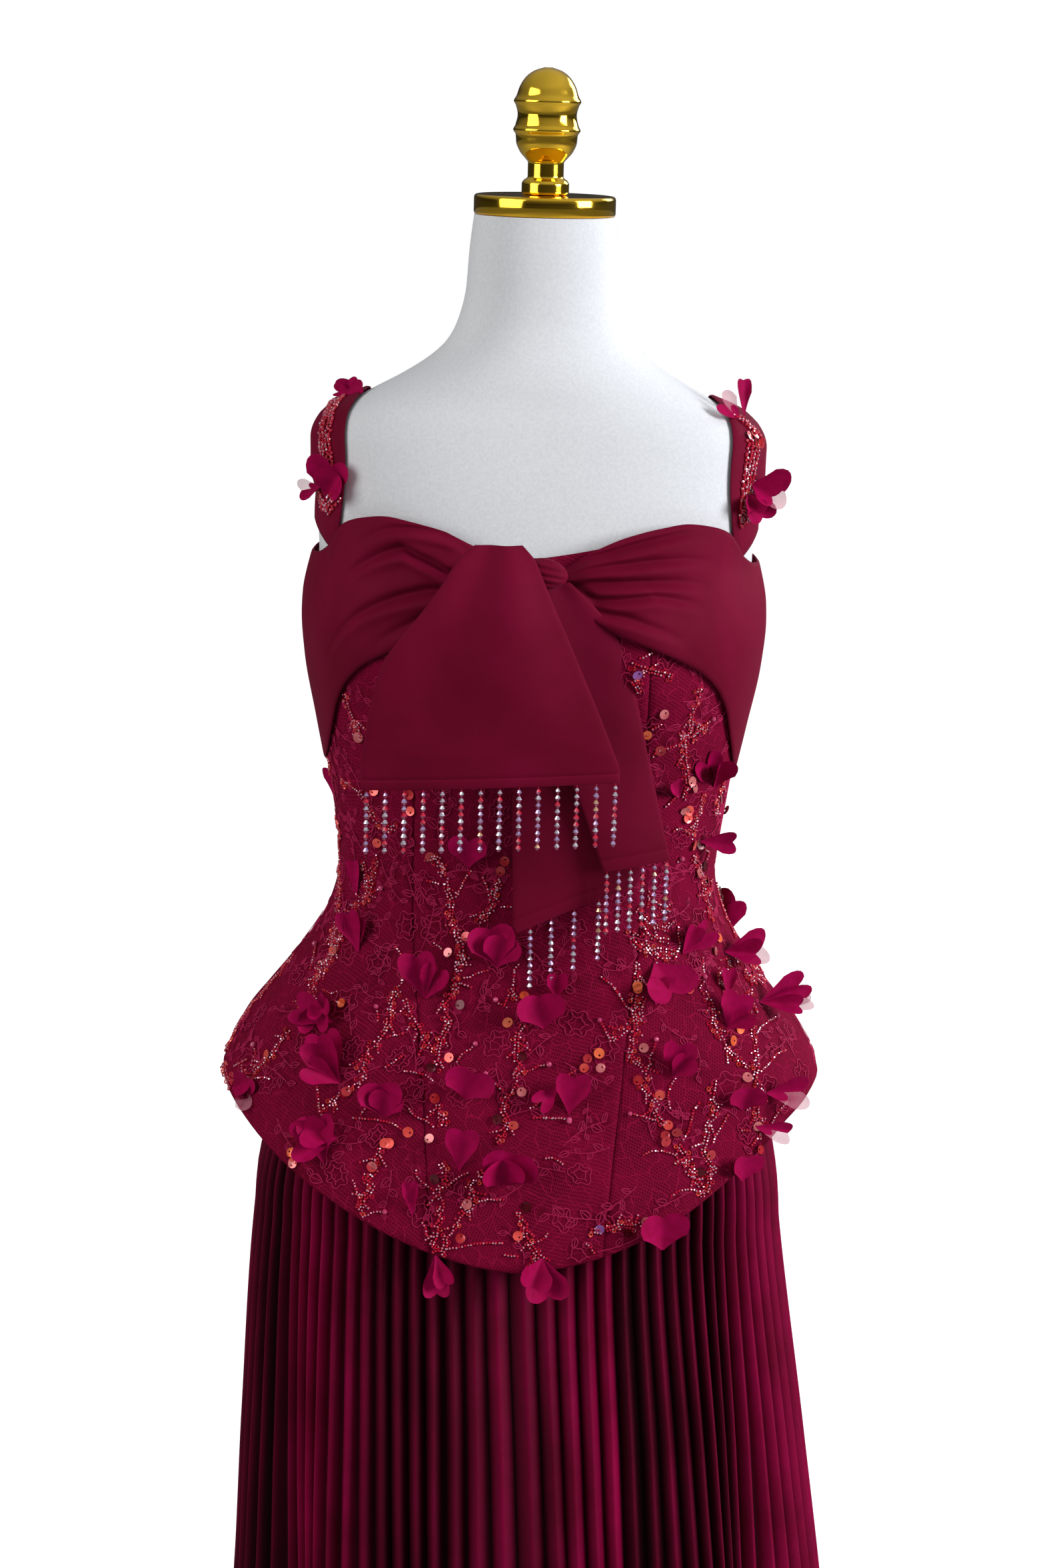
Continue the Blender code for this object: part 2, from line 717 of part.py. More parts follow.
def strap_row(turn, lift):
    """Points across the strap at one place on its path."""
    core = Vector(SHOULDER_CORE) * MM
    centre = strap_centre(turn)
    tangent = (strap_centre(turn + 2) - strap_centre(turn - 2)).normalized()
    rough_normal = (centre - core).normalized()
    across = tangent.cross(rough_normal).normalized()
    free = min(1.0, max(0.0, (turn + 2) / 18)) * min(1.0, max(0.0, (170 - turn) / 30))
    row = []
    for share in (-0.5, -0.17, 0.17, 0.5):
        spot = on_shoulder((centre + across * share * STRAP_WIDTH - core).normalized())
        ahead = on_shoulder((spot + tangent * 2 * MM - core).normalized())
        beside = on_shoulder((spot + across * 2 * MM - core).normalized())
        normal = (ahead - spot).cross(beside - spot).normalized()
        if normal.dot(rough_normal) < 0:
            normal = -normal
        row.append(spot + normal * (lift + STRAP_STANDS_OFF * free * (0.5 + share)))
    return row


def build_strap(name, side):
    turns = spaced(-20, 199, 20)
    outer, inner = [], []
    for turn in turns:
        for points, lift in ((outer, STRAP_LIFT + SATIN_WALL), (inner, STRAP_LIFT)):
            row = [Vector((side * p.x, p.y, p.z)) for p in strap_row(turn, lift)]
            points.append(row)
    bm, outer_verts, faces = wall_mesh(outer, inner)
    bmesh.ops.recalc_face_normals(bm, faces=bm.faces[:])
    for row, way in ((7, 1), (3, -1)):
        face = faces[row, 1]
        face.normal_update()
        across = outer_verts[row][1].co - outer_verts[row][2].co
        along = outer_verts[row + 1][1].co - outer_verts[row][1].co
        raise_petal(bm, face, across.normalized() * way * side + along.normalized() * 0.7, 30 * MM)
    add_object(name, bm, "satin")


def skirt_fold(angle, z):
    """How far the skirt's deep folds draw it in here."""
    drop = min(1.0, max(0.0, (930 - z / MM) / 420))
    drawn = 0.0
    for row in SKIRT_FOLDS:
        away = math.degrees(wrapped(angle - math.radians(row["degrees"])))
        drawn += row["depth"] * MM * math.exp(-((away / row["spread"]) ** 2))
    return drawn * drop * (0.5 + 0.5 * drop)


def skirt_point(angle, z, ridge, depth):
    """On the skirt: ridge 1 on a pleat's outer fold and 0 on its inner fold."""
    out = round_blend(SKIRT, angle, z) + ridge * read(SKIRT, "pleat", z / MM) * MM
    out += depth * SKIRT_WALL - skirt_fold(angle, z)
    point = figure_point(angle, z, out, section_z=max(z, 800 * MM))
    point.x += read(SKIRT, "sway", z / MM) * MM
    return point


def build_skirt():
    stops = [*SKIRT_SEAMS, SKIRT_SEAMS[0] + 360]
    for (name, pleats), start, end in zip(PLEATS.items(), stops, stops[1:]):
        first, last = math.radians(start) + seam_gap(0), math.radians(end) - seam_gap(0)
        outer, inner = [], []
        for level in SKIRT_ROWS:
            z = level * MM
            for points, depth in ((outer, 1.0), (inner, 0.0)):
                row = []
                for k, angle in enumerate(spaced(first, last, 2 * pleats)):
                    uneven = 0.85 + 0.15 * math.sin(2.7 * k + start)
                    row.append(skirt_point(angle, z, (k % 2) * uneven, depth))
                points.append(row)
        bm, _, _ = wall_mesh(outer, inner)
        add_object(name, bm, "satin", smooth_degrees=25)


def closed_tube(name, rings, finish, smooth_degrees=40):
    """A solid from rings of points, with flat ends."""
    bm = bmesh.new()
    rows = [[bm.verts.new(p) for p in ring] for ring in rings]
    grid_faces(bm, rows, closed=True)
    bm.faces.new(rows[0])
    bm.faces.new(rows[-1][::-1])
    add_object(name, bm, finish, smooth_degrees)


def turned(name, profile, finish, segments):
    """A solid of revolution about the Z axis, from (height, radius) stations."""
    rings = []
    for z, radius in profile:
        angles = [math.tau * k / segments for k in range(segments)]
        rings.append([Vector((radius * math.cos(a), radius * math.sin(a), z)) for a in angles])
    closed_tube(name, rings[::-1], finish)


# The finial's profile above its foot, in millimetres: height, radius
FINIAL = (
    (0, 17), (1.5, 18.2), (8, 18.2), (11, 16.5), (13, 13.8), (24, 13.8), (27, 16), (32, 20.2), (39, 23.2),
    (45, 23.8), (48.5, 25.8), (52, 24.2), (60, 22.6), (67, 24.2), (70, 25.8), (74, 23.8), (81, 21.4), (88, 17),
    (93, 10.5), (95.5, 3),
)


FORM_ROWS = (
    *range(1592, 1498, -16), *range(1496, 1417, -6), *range(1400, 1120, -38), *range(1120, 1040, -20), 1030, 980,
    920, 860, 790,
)


def build_form():
    angles = [math.tau * k / 28 for k in range(28)]
    rings = [[figure_point(a, level * MM) for a in angles] for level in FORM_ROWS]
    closed_tube("form_body", rings, "form_cloth", smooth_degrees=60)
    bottom = NECK_TOP + GAP
    top = bottom + CAP_HEIGHT
    bevel = 1.2 * MM
    turned(
        "neck_cap",
        (
            (bottom, CAP_RADIUS - bevel),
            (bottom + bevel, CAP_RADIUS),
            (top - bevel, CAP_RADIUS),
            (top, CAP_RADIUS - bevel),
        ),
        "gold",
        32,
    )
    foot = top + GAP
    turned("finial", [(foot + h * MM, r * MM) for h, r in FINIAL], "gold", 16)
    base_top = BASE_HEIGHT
    turned(
        "stand_base",
        (
            (0, BASE_RADIUS),
            (base_top * 0.6, BASE_RADIUS),
            (base_top, BASE_RADIUS - 6 * MM),
        ),
        "gold",
        40,
    )
    turned("stand_pole", ((base_top + GAP, POLE_RADIUS), (FORM_BOTTOM - GAP, POLE_RADIUS)), "gold", 20)


def build_gown():
    bodice_front = build_bodice()[0]
    build_zip()
    build_skirt()
    bands = [build_band("band_right", 1), build_band("band_left", -1)]
    knot = build_knot()
    front_folds, right_folds, back_folds = (1.5, 2.0, 11), (1.0, 1.5, 9), (0.5, 1.0, 39)
    tail_back = build_tail("tail_back", TAIL_BACK, 5, 9, back_folds)
    tail_right = build_tail("tail_right", TAIL_RIGHT, 5, 9, right_folds)
    tail_front = build_tail("tail_front", TAIL_FRONT, 9, 9, front_folds)
    fringe_back = build_fringe("fringe_back", TAIL_BACK, 4, back_folds, 0.17, 0.73)
    fringe_right = build_fringe("fringe_right", TAIL_RIGHT, 6, right_folds, 0.05, 0.95)
    fringe_front = build_fringe("fringe_front", TAIL_FRONT, 14, front_folds)
    seat([tail_back, fringe_back], [*bands, bodice_front])
    seat([tail_right, fringe_right], [*bands, tail_back, fringe_back])
    seat([knot], [*bands, tail_back, tail_right])
    seat([tail_front, fringe_front], [*bands, knot, tail_back, tail_right])
    for name, side in (("strap_right", 1), ("strap_left", -1)):
        build_strap(name, side)


clear_scene()
build_form()
build_gown()
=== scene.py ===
import math

import bpy
import numpy as np
from mathutils import Matrix, Vector


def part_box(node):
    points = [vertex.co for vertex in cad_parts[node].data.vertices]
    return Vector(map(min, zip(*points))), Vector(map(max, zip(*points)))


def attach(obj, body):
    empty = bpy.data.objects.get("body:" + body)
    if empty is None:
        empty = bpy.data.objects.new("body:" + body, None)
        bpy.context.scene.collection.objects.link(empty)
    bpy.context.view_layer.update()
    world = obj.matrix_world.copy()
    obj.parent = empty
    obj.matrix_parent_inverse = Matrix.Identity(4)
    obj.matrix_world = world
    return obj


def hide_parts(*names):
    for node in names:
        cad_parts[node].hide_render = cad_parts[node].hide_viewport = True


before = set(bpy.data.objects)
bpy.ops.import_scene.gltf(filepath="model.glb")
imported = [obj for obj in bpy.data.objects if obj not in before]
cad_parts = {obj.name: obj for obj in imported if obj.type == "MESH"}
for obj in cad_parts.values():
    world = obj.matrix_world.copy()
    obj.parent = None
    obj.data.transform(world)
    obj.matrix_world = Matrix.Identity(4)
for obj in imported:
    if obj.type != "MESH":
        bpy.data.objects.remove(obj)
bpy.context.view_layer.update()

mm = 0.001
degree = math.pi / 180


# A small table: its first column climbs, and the others are read from it on smooth curves
def rowsOf(names, *rows):
    rows = sorted(rows)
    stops = np.array([row[0] for row in rows], float)
    columns = {}
    for place, name in enumerate(names):
        values = np.array([row[place] for row in rows], float)
        steps = np.diff(values) / np.diff(stops)
        before, after = steps[:-1], steps[1:]
        same = before * after > 0
        inner = np.where(same, 2 * before * after / np.where(same, before + after, 1), 0)
        columns[name] = values, np.concatenate([steps[:1], inner, steps[-1:]])
    return stops, columns


def read(rows, name, at):
    stops, columns = rows
    values, slopes = columns[name]
    at = np.clip(at, stops[0], stops[-1])
    k = np.clip(np.searchsorted(stops, at, side="right") - 1, 0, len(stops) - 2)
    step = stops[k + 1] - stops[k]
    t = (at - stops[k]) / step
    start, end, rise = slopes[k] * step, slopes[k + 1] * step, values[k + 1] - values[k]
    return values[k] + t * (start + t * (3 * rise - 2 * start - end + t * (start + end - 2 * rise)))


# 0 up to the start, 1 from a span further on, and even between
def ramp(value, start, span):
    return np.clip((value - start) / span, 0, 1)


# 1 at the middle, falling off softly to both sides
def bell(value, middle, width):
    return np.exp(-((value - middle) / width) ** 2)


# Halves the span between low and high in rounds; the test says where the answer lies higher
def halved(liesHigher, low, high, rounds):
    for _ in range(rounds):
        middle = (low + high) / 2
        higher = liesHigher(middle)
        low, high = np.where(higher, middle, low), np.where(higher, high, middle)
    return low


# The figure that the gown hangs on, the same sections as the solid form, in millimetres
figure = {
    "sections": rowsOf(
        ("z", "halfWidth", "front", "back", "squareness"),
        (790, 184, 106, 120, 2.3), (830, 186, 109, 123, 2.3), (880, 183, 110, 122, 2.3),
        (930, 172, 107, 112, 2.3), (1000, 152, 101, 96, 2.3), (1075, 142, 95, 84, 2.3),
        (1140, 149, 99, 89, 2.3), (1200, 159, 107, 97, 2.3), (1250, 168, 116, 103, 2.3),
        (1285, 171, 117, 107, 2.3), (1330, 169, 111, 110, 2.35), (1375, 171, 101, 111, 2.75),
        (1420, 169, 91, 107, 2.8), (1438, 158, 87, 103, 2.75), (1453, 134, 83, 97, 2.6),
        (1468, 107, 80, 90, 2.45), (1482, 86, 75, 82, 2.35), (1496, 72, 68, 73, 2.3),
        (1513, 64, 62, 65, 2.3), (1535, 59, 59, 60, 2.3), (1565, 57, 57, 57, 2.3), (1592, 54, 54, 54, 2.3),
    ),
    "cupX": 88 * mm, "cupHeight": 1262 * mm, "cupSpreadX": 52 * mm, "cupSpreadZ": 50 * mm,
    "cupRise": 14 * mm, "cupFade": 60 * mm, "sidePower": 2.2,
}


def signedPower(value, power):
    return np.sign(value) * np.abs(value) ** power


def figureSection(angle, z):
    rows = figure["sections"]
    halfWidth = read(rows, "halfWidth", z / mm) * mm
    depth = np.where(np.cos(angle) > 0, read(rows, "front", z / mm), read(rows, "back", z / mm)) * mm
    power = 2 / read(rows, "squareness", z / mm)
    x = halfWidth * signedPower(np.sin(angle), power)
    y = -depth * signedPower(np.cos(angle), power)
    across = (np.abs(x) - figure["cupX"]) / figure["cupSpreadX"]
    along = (z - figure["cupHeight"]) / figure["cupSpreadZ"]
    cup = figure["cupRise"] * np.exp(-across ** 2 - along ** 2) * ramp(-y, 0, figure["cupFade"])
    return x, y - cup


# Points moved straight out from the figure; angles run from the front, positive towards +X
def figurePoint(angle, z, out=0.0, sectionZ=None):
    angle, z, out = np.broadcast_arrays(np.asarray(angle, float), np.asarray(z, float),
                                        np.asarray(out, float))
    level = z if sectionZ is None else np.broadcast_to(sectionZ, z.shape)
    step = 0.004
    x0, y0 = figureSection(angle - step, level)
    x1, y1 = figureSection(angle + step, level)
    length = np.hypot(x1 - x0, y1 - y0)
    x, y = figureSection(angle, level)
    return np.stack([x + out * (y1 - y0) / length, y - out * (x1 - x0) / length, z], -1)


def roundBlend(rows, angle, z):
    sideways = np.abs(np.sin(angle)) ** figure["sidePower"]
    ends = np.where(np.cos(angle) > 0, read(rows, "front", z / mm), read(rows, "back", z / mm))
    side = np.where(np.sin(angle) > 0, read(rows, "right", z / mm), read(rows, "left", z / mm))
    return (side * sideways + ends * (1 - sideways)) * mm


def foldAngle(angle):
    return np.abs((angle + math.pi) % math.tau - math.pi)


def unit(vectors):
    return vectors / np.maximum(np.linalg.norm(vectors, axis=-1, keepdims=True), 1e-12)


# Finishes: each is a material with procedural nodes, built with a few short calls
class Finish:
    def __init__(self, name, sockets):
        self.material = bpy.data.materials.new(name)
        self.material.use_nodes = True
        self.tree = self.material.node_tree
        self.shader = self.tree.nodes["Principled BSDF"]
        for socket, value in sockets.items():
            self.feed(self.shader.inputs[socket], value)

    def feed(self, socket, value):
        if isinstance(value, bpy.types.NodeSocket):
            self.tree.links.new(value, socket)
        elif isinstance(value, tuple) and socket.type == "RGBA":
            socket.default_value = (*value[:3], 1)
        else:
            socket.default_value = value

    def add(self, kind, inputs, output=0, **settings):
        made = self.tree.nodes.new("ShaderNode" + kind)
        for name, value in settings.items():
            setattr(made, name, value)
        for socket, value in inputs.items():
            self.feed(made.inputs[socket], value)
        return made.outputs[output]

    def clothPlace(self):
        return self.add("UVMap", {}, uv_map="cloth")

    def noise(self, place, scale, detail=3.0, rough=0.55):
        return self.add("TexNoise", {"Vector": place, "Scale": scale, "Detail": detail, "Roughness": rough})

    # Even lines of thread, as wide as given
    def wave(self, place, width, direction, distortion, fineScale=1.0):
        scale = (0.444 if direction == "DIAGONAL" else 0.314) / width
        sockets = {"Vector": place, "Scale": scale, "Distortion": distortion, "Detail Scale": fineScale}
        return self.add("TexWave", sockets, output=1, bands_direction=direction)

    # How far each place is from the edges of uneven cells
    def cells(self, place, size, uneven):
        sockets = {"Vector": place, "Scale": 1 / size, "Randomness": uneven}
        return self.add("TexVoronoi", sockets, voronoi_dimensions="2D", feature="DISTANCE_TO_EDGE")

    def painted(self, name):
        return self.add("Attribute", {}, output=2, attribute_name=name)

    def maths(self, operation, a, b=0.0, c=0.0, clamp=False):
        return self.add("Math", {0: a, 1: b, 2: c}, operation=operation, use_clamp=clamp)

    def between(self, value, low, high, to=(0.0, 1.0)):
        sockets = {"Value": value, "From Min": low, "From Max": high, "To Min": to[0], "To Max": to[1]}
        return self.add("MapRange", sockets, clamp=True)

    def mix(self, share, a, b):
        made = self.tree.nodes.new("ShaderNodeMix")
        made.data_type = "RGBA"
        for socket, value in zip((0, 6, 7), (share, a, b)):  # the sockets that a mix of colours uses
            self.feed(made.inputs[socket], value)
        return made.outputs[2]

    # The last step of each finish: its colour, roughness and raised grain
    def show(self, colour, roughness, height=None, distance=0.0, strength=1.0):
        self.feed(self.shader.inputs["Base Color"], colour)
        self.feed(self.shader.inputs["Roughness"], roughness)
        if height is not None:
            normal = self.add("Bump", {"Height": height, "Distance": distance, "Strength": strength})
            self.feed(self.shader.inputs["Normal"], normal)
        return self.material


satinLook = {
    "shade": (0.118, 0.0014, 0.0145), "light": (0.172, 0.0026, 0.0260), "roughness": 0.66,
    "sheen": 0.07, "sheenTint": (0.95, 0.25, 0.45), "gloss": 0.05, "paintedShadeDepth": 0.0, "thread": 0.42 * mm,
    "cloudScale": 11.0, "fleckScale": 900.0, "weave": 0.12, "grain": 0.07 * mm,
}
# the pleated satin, whose painted shade goes almost to black in the deepest places
pleatedLook = {
    **satinLook, "shade": (0.130, 0.0006, 0.0190), "light": (0.270, 0.0012, 0.0470), "roughness": 0.48,
    "sheen": 0.02, "paintedShadeDepth": 0.94,
}


# Satin woven of fine threads; where it is pleated, painted shade darkens its valleys and its dark groups of
# pleats, and painted highlights lighten some crests
def satinFinish(name, look):
    made = Finish(name, {
        "Sheen Weight": look["sheen"], "Sheen Roughness": 0.35, "Sheen Tint": look["sheenTint"],
        "Specular IOR Level": look["gloss"],
    })
    place = made.clothPlace()
    cloud = made.noise(place, look["cloudScale"], 4.0)
    fleck = made.noise(place, look["fleckScale"], 2.0)
    twill = made.wave(place, look["thread"], "DIAGONAL", 0.6)
    warp = made.wave(place, look["thread"], "X", 0.4)
    weave = made.maths("MULTIPLY_ADD", warp, 0.35, twill)
    broad, fine = made.between(cloud, 0.35, 0.68, (0.0, 0.75)), made.between(fleck, 0.4, 0.7, (-0.05, 0.2))
    tone = made.maths("MULTIPLY_ADD", weave, look["weave"], made.maths("ADD", broad, fine), clamp=True)
    colour = made.mix(tone, look["shade"], look["light"])
    # painted shade and highlights: the ridge attribute holds the painted tone of the pleats, and where it is
    # low the colour darkens towards deep, a painted shade colour
    if look["paintedShadeDepth"]:
        deep = tuple(value * (1 - look["paintedShadeDepth"]) for value in look["shade"])
        colour = made.mix(made.between(made.painted("ridge"), 0.06, 0.85), deep, colour)
    roughness = made.between(fleck, 0.3, 0.7, (look["roughness"] - 0.05, look["roughness"] + 0.06))
    return made.show(colour, roughness, made.maths("MULTIPLY_ADD", cloud, 1.5, weave), look["grain"], 0.55)


laceLook = {
    "ground": (0.088, 0.0007, 0.0092), "fill": (0.152, 0.0010, 0.0200), "net": (0.270, 0.0040, 0.0430),
    "cell": 2.0 * mm, "thread": 0.12, "fillThread": 0.95 * mm, "turn": 0.42, "squeeze": 0.72,
    "roughness": 0.7, "sprigs": 14 * mm, "bend": 9 * mm, "outline": 0.045, "grain": 0.28 * mm,
}


# A fine net over satin, with outlined sprigs; where the lace is worked solid, close lines of thread fill it
def laceFinish(name, look):
    made = Finish(name, {"Specular IOR Level": 0.04})
    place = made.clothPlace()
    slanted = {"Vector": place, "Rotation": (0, 0, look["turn"]), "Scale": (1.0, look["squeeze"], 1.0)}
    stretched = made.add("Mapping", slanted)
    edge = made.cells(stretched, look["cell"], 0.32)
    net = made.between(edge, look["thread"] * 0.5, look["thread"] * 1.7, (1.0, 0.0))
    lines = made.wave(stretched, look["fillThread"], "Y", 2.2, 0.4)
    cloud = made.noise(place, 24.0, 5.0)
    drift = made.add("TexNoise", {"Vector": place, "Scale": 85.0, "Detail": 1.0}, output=1)
    moved = {0: drift, 1: (look["bend"], look["bend"], 0), 2: place}
    leaf = made.cells(made.add("VectorMath", moved, operation="MULTIPLY_ADD"), look["sprigs"], 0.9)
    outline = made.between(leaf, look["outline"] * 0.4, look["outline"], (1.0, 0.0))
    solid = made.between(made.painted("worked"), 0.25, 0.7)
    thread = made.maths("MULTIPLY", lines, solid)
    bare = made.maths("MULTIPLY", net, made.maths("SUBTRACT", 1.0, solid))
    colour = made.mix(made.between(cloud, 0.35, 0.7), look["ground"], look["fill"])
    for share, strength, tone in ((thread, 0.55, "fill"), (bare, 0.7, "net"), (outline, 0.75, "net")):
        colour = made.mix(made.maths("MULTIPLY", share, strength), colour, look[tone])
    raised = made.maths("MULTIPLY_ADD", thread, 0.7, solid)
    height = made.maths("ADD", made.maths("MULTIPLY", bare, 0.8), raised)
    roughness = made.between(cloud, 0.2, 0.8, (look["roughness"], look["roughness"] + 0.15))
    return made.show(colour, roughness, made.maths("MULTIPLY_ADD", outline, 1.2, height), look["grain"], 0.8)


def plainFinish(name, shade, light, sockets, scale, roughness, grain=0.0):
    made = Finish(name, sockets)
    cloud = made.noise(made.add("TexCoord", {}, output=3), scale, 4.0)
    colour = made.mix(made.between(cloud, 0.3, 0.7), shade, light)
    return made.show(colour, made.between(cloud, 0.3, 0.7, roughness), cloud if grain else None, grain, 0.6)


jewel = {"Coat Weight": 0.7, "Coat Roughness": 0.05}
foil = {"Metallic": 0.35, "Coat Weight": 0.6, "Coat Roughness": 0.06}
cut = {"Metallic": 0.7, "Coat Weight": 0.7, "Coat Roughness": 0.02}
soft = {"Specular IOR Level": 0.05}
thin = {"Alpha": 0.62, "Specular IOR Level": 0.2}
milky = {"Coat Weight": 0.8, "Coat Roughness": 0.12}
# Each finish: its material, two colours, sockets, scale of the mottling, roughness and raised grain
plainLooks = {
    "cord": ("laceCord", (0.275, 0.0050, 0.0440), (0.380, 0.0120, 0.0740), {"Specular IOR Level": 0.1}, 300,
             (0.5, 0.65)),
    "chiffon": ("petalChiffon", (0.265, 0.0008, 0.0430), (0.355, 0.0016, 0.0680), soft, 140, (0.6, 0.7),
                0.1 * mm),
    "paleChiffon": ("paleChiffon", (0.42, 0.10, 0.17), (0.60, 0.22, 0.28), thin, 140, (0.5, 0.6), 0.1 * mm),
    "silver": ("silverLining", (0.46, 0.27, 0.40), (0.84, 0.74, 0.90), {"Metallic": 0.55}, 800,
               (0.25, 0.40)),
    "redGlass": ("redGlass", (0.36, 0.002, 0.020), (0.60, 0.008, 0.046), jewel, 500, (0.12, 0.22)),
    "coral": ("coralFoil", (0.74, 0.045, 0.036), (0.88, 0.10, 0.075), foil, 200, (0.25, 0.35)),
    "orange": ("orangeFoil", (0.84, 0.10, 0.028), (0.94, 0.19, 0.06), foil, 200, (0.2, 0.3)),
    "red": ("redFoil", (0.36, 0.004, 0.012), (0.58, 0.02, 0.03), foil, 200, (0.18, 0.3)),
    "dark": ("darkFoil", (0.045, 0.001, 0.004), (0.12, 0.002, 0.010), {"Metallic": 0.3}, 200, (0.12, 0.25)),
    "rose": ("roseFoil", (0.52, 0.085, 0.10), (0.70, 0.19, 0.19), foil, 200, (0.2, 0.3)),
    "violet": ("violetFoil", (0.16, 0.03, 0.20), (0.34, 0.10, 0.42), foil, 200, (0.2, 0.3)),
    "pearl": ("pinkPearl", (0.42, 0.02, 0.10), (0.60, 0.06, 0.18), milky, 90, (0.22, 0.32)),
    "crystal": ("clearCrystal", (0.44, 0.38, 0.46), (0.88, 0.84, 0.94), cut, 700, (0.06, 0.14)),
    "lilac": ("lilacCrystal", (0.34, 0.20, 0.38), (0.68, 0.52, 0.86), cut, 700, (0.06, 0.14)),
    "amber": ("amberCrystal", (0.62, 0.26, 0.16), (0.95, 0.66, 0.42), cut, 700, (0.06, 0.14)),
    "wineCrystal": ("wineCrystal", (0.24, 0.01, 0.05), (0.50, 0.16, 0.28), cut, 700, (0.08, 0.16)),
    "gold": ("polishedGold", (0.98, 0.56, 0.035), (1.0, 0.64, 0.06), {"Metallic": 1.0}, 14, (0.07, 0.13)),
    "form": ("formJersey", (0.63, 0.645, 0.67), (0.71, 0.725, 0.745), {"Sheen Weight": 0.1}, 420, (0.8, 0.9),
             0.12 * mm),
}
finishes = {
    "satin": satinFinish("crepeSatin", satinLook), "pleated": satinFinish("pleatedSatin", pleatedLook),
    "lace": laceFinish("cordedLace", laceLook),
    **{label: plainFinish(*look) for label, look in plainLooks.items()},
}
print("finishes ready:", len(finishes))


def put(name, mesh, finishNames, slotName, *nodes):
    for finishName in finishNames:
        mesh.materials.append(finishes[finishName])
    mesh.shade_smooth()
    piece = bpy.data.objects.new(name, mesh)
    bpy.context.scene.collection.objects.link(piece)
    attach(piece, "root")
    if nodes:
        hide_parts(*nodes)
    return piece


# Cloth from a grid of points, rows down and columns to the right as seen from outside
def clothPiece(name, points, finishName, slotName, *nodes, thick=0.8 * mm, closed=False, attributes=None):
    rows, columns = points.shape[:2]
    corner = np.arange(rows * columns).reshape(rows, columns)
    if closed:
        corner = np.concatenate([corner, corner[:, :1]], 1)
    a, b, c, d = corner[:-1, :-1], corner[1:, :-1], corner[1:, 1:], corner[:-1, 1:]
    faces = np.stack([a, b, c, d], -1).reshape(-1, 4)
    mesh = bpy.data.meshes.new(name)
    mesh.from_pydata(points.reshape(-1, 3).tolist(), [], faces.tolist())
    spread = np.concatenate([points, points[:, :1]], 1) if closed else points
    acrossSteps = np.linalg.norm(np.diff(spread, axis=1), axis=-1)
    downSteps = np.linalg.norm(np.diff(spread, axis=0), axis=-1)
    u = np.concatenate([np.zeros((rows, 1)), np.cumsum(acrossSteps, 1)], 1)
    u -= u[:, u.shape[1] // 2][:, None]
    v = -np.concatenate([np.zeros((1, spread.shape[1])), np.cumsum(downSteps, 0)], 0)
    flat = np.stack([u, v], -1)
    loops = np.stack([flat[:-1, :-1], flat[1:, :-1], flat[1:, 1:], flat[:-1, 1:]], 2).reshape(-1)
    mesh.uv_layers.new(name="cloth").data.foreach_set("uv", loops.astype(np.float32))
    for label, values in (attributes or {}).items():
        data = mesh.attributes.new(label, "FLOAT", "POINT").data
        data.foreach_set("value", values.reshape(-1).astype(np.float32))
    piece = put(name, mesh, [finishName], slotName, *nodes)
    if thick:
        shell = piece.modifiers.new("thickness", "SOLIDIFY")
        shell.thickness, shell.offset = thick, -1.0
    return piece


# The cloth laid flat: along its widest row and down its longest column
def flatSize(points):
    runs = (np.linalg.norm(np.diff(points, axis=axis), axis=-1).sum(axis) for axis in (1, 0))
    return tuple(float(run.max()) for run in runs)


# A small shape repeated at many places; bases hold each copy's three axes. A shape is (points, faces, parts):
# a face whose part is None takes the copy's own finish number, and the others keep theirs
def copies(shape, places, bases, sizes, own):
    points, faces, parts = shape
    placed = places[:, None] + np.einsum("pk,nkx->npx", points, bases) * np.reshape(sizes, (-1, 1, 1))
    starts = np.arange(len(places))[:, None] * len(points)
    polygons, index = [], []
    for face, part in zip(faces, parts):
        polygons += (np.array(face)[None] + starts).tolist()
        index.append(np.broadcast_to(own if part is None else part, len(places)))
    return placed.reshape(-1, 3), polygons, np.concatenate(index)


def joined(name, groups, finishNames, slotName, *nodes, smooth=True):
    points, polygons, index, base = [], [], [], 0
    for groupPoints, groupPolygons, groupIndex in groups:
        points.append(groupPoints)
        polygons += [[k + base for k in ring] for ring in groupPolygons]
        index.append(groupIndex)
        base += len(groupPoints)
    mesh = bpy.data.meshes.new(name)
    mesh.from_pydata(np.concatenate(points).tolist(), [], polygons)
    mesh.polygons.foreach_set("material_index", np.concatenate(index).astype(np.int32))
    piece = put(name, mesh, finishNames, slotName, *nodes)
    if not smooth:
        mesh.shade_flat()
    return piece


# The padded form with its gold neck cap, turned finial, pole and base
form = {"around": 96, "rise": 5 * mm, "bottom": 790 * mm, "top": 1592 * mm, "capRadius": 54.5 * mm,
        "closing": (0.02, 0.6)}
finialProfile = ((0, 17), (1.5, 18.2), (8, 18.2), (11, 16.5), (13, 13.8), (24, 13.8), (27, 16), (32, 20.2),
                 (39, 23.2), (45, 23.8), (48.5, 25.8), (52, 24.2), (60, 22.6), (67, 24.2), (70, 25.8),
                 (74, 23.8), (81, 21.4), (88, 17), (93, 10.5), (95.5, 3))


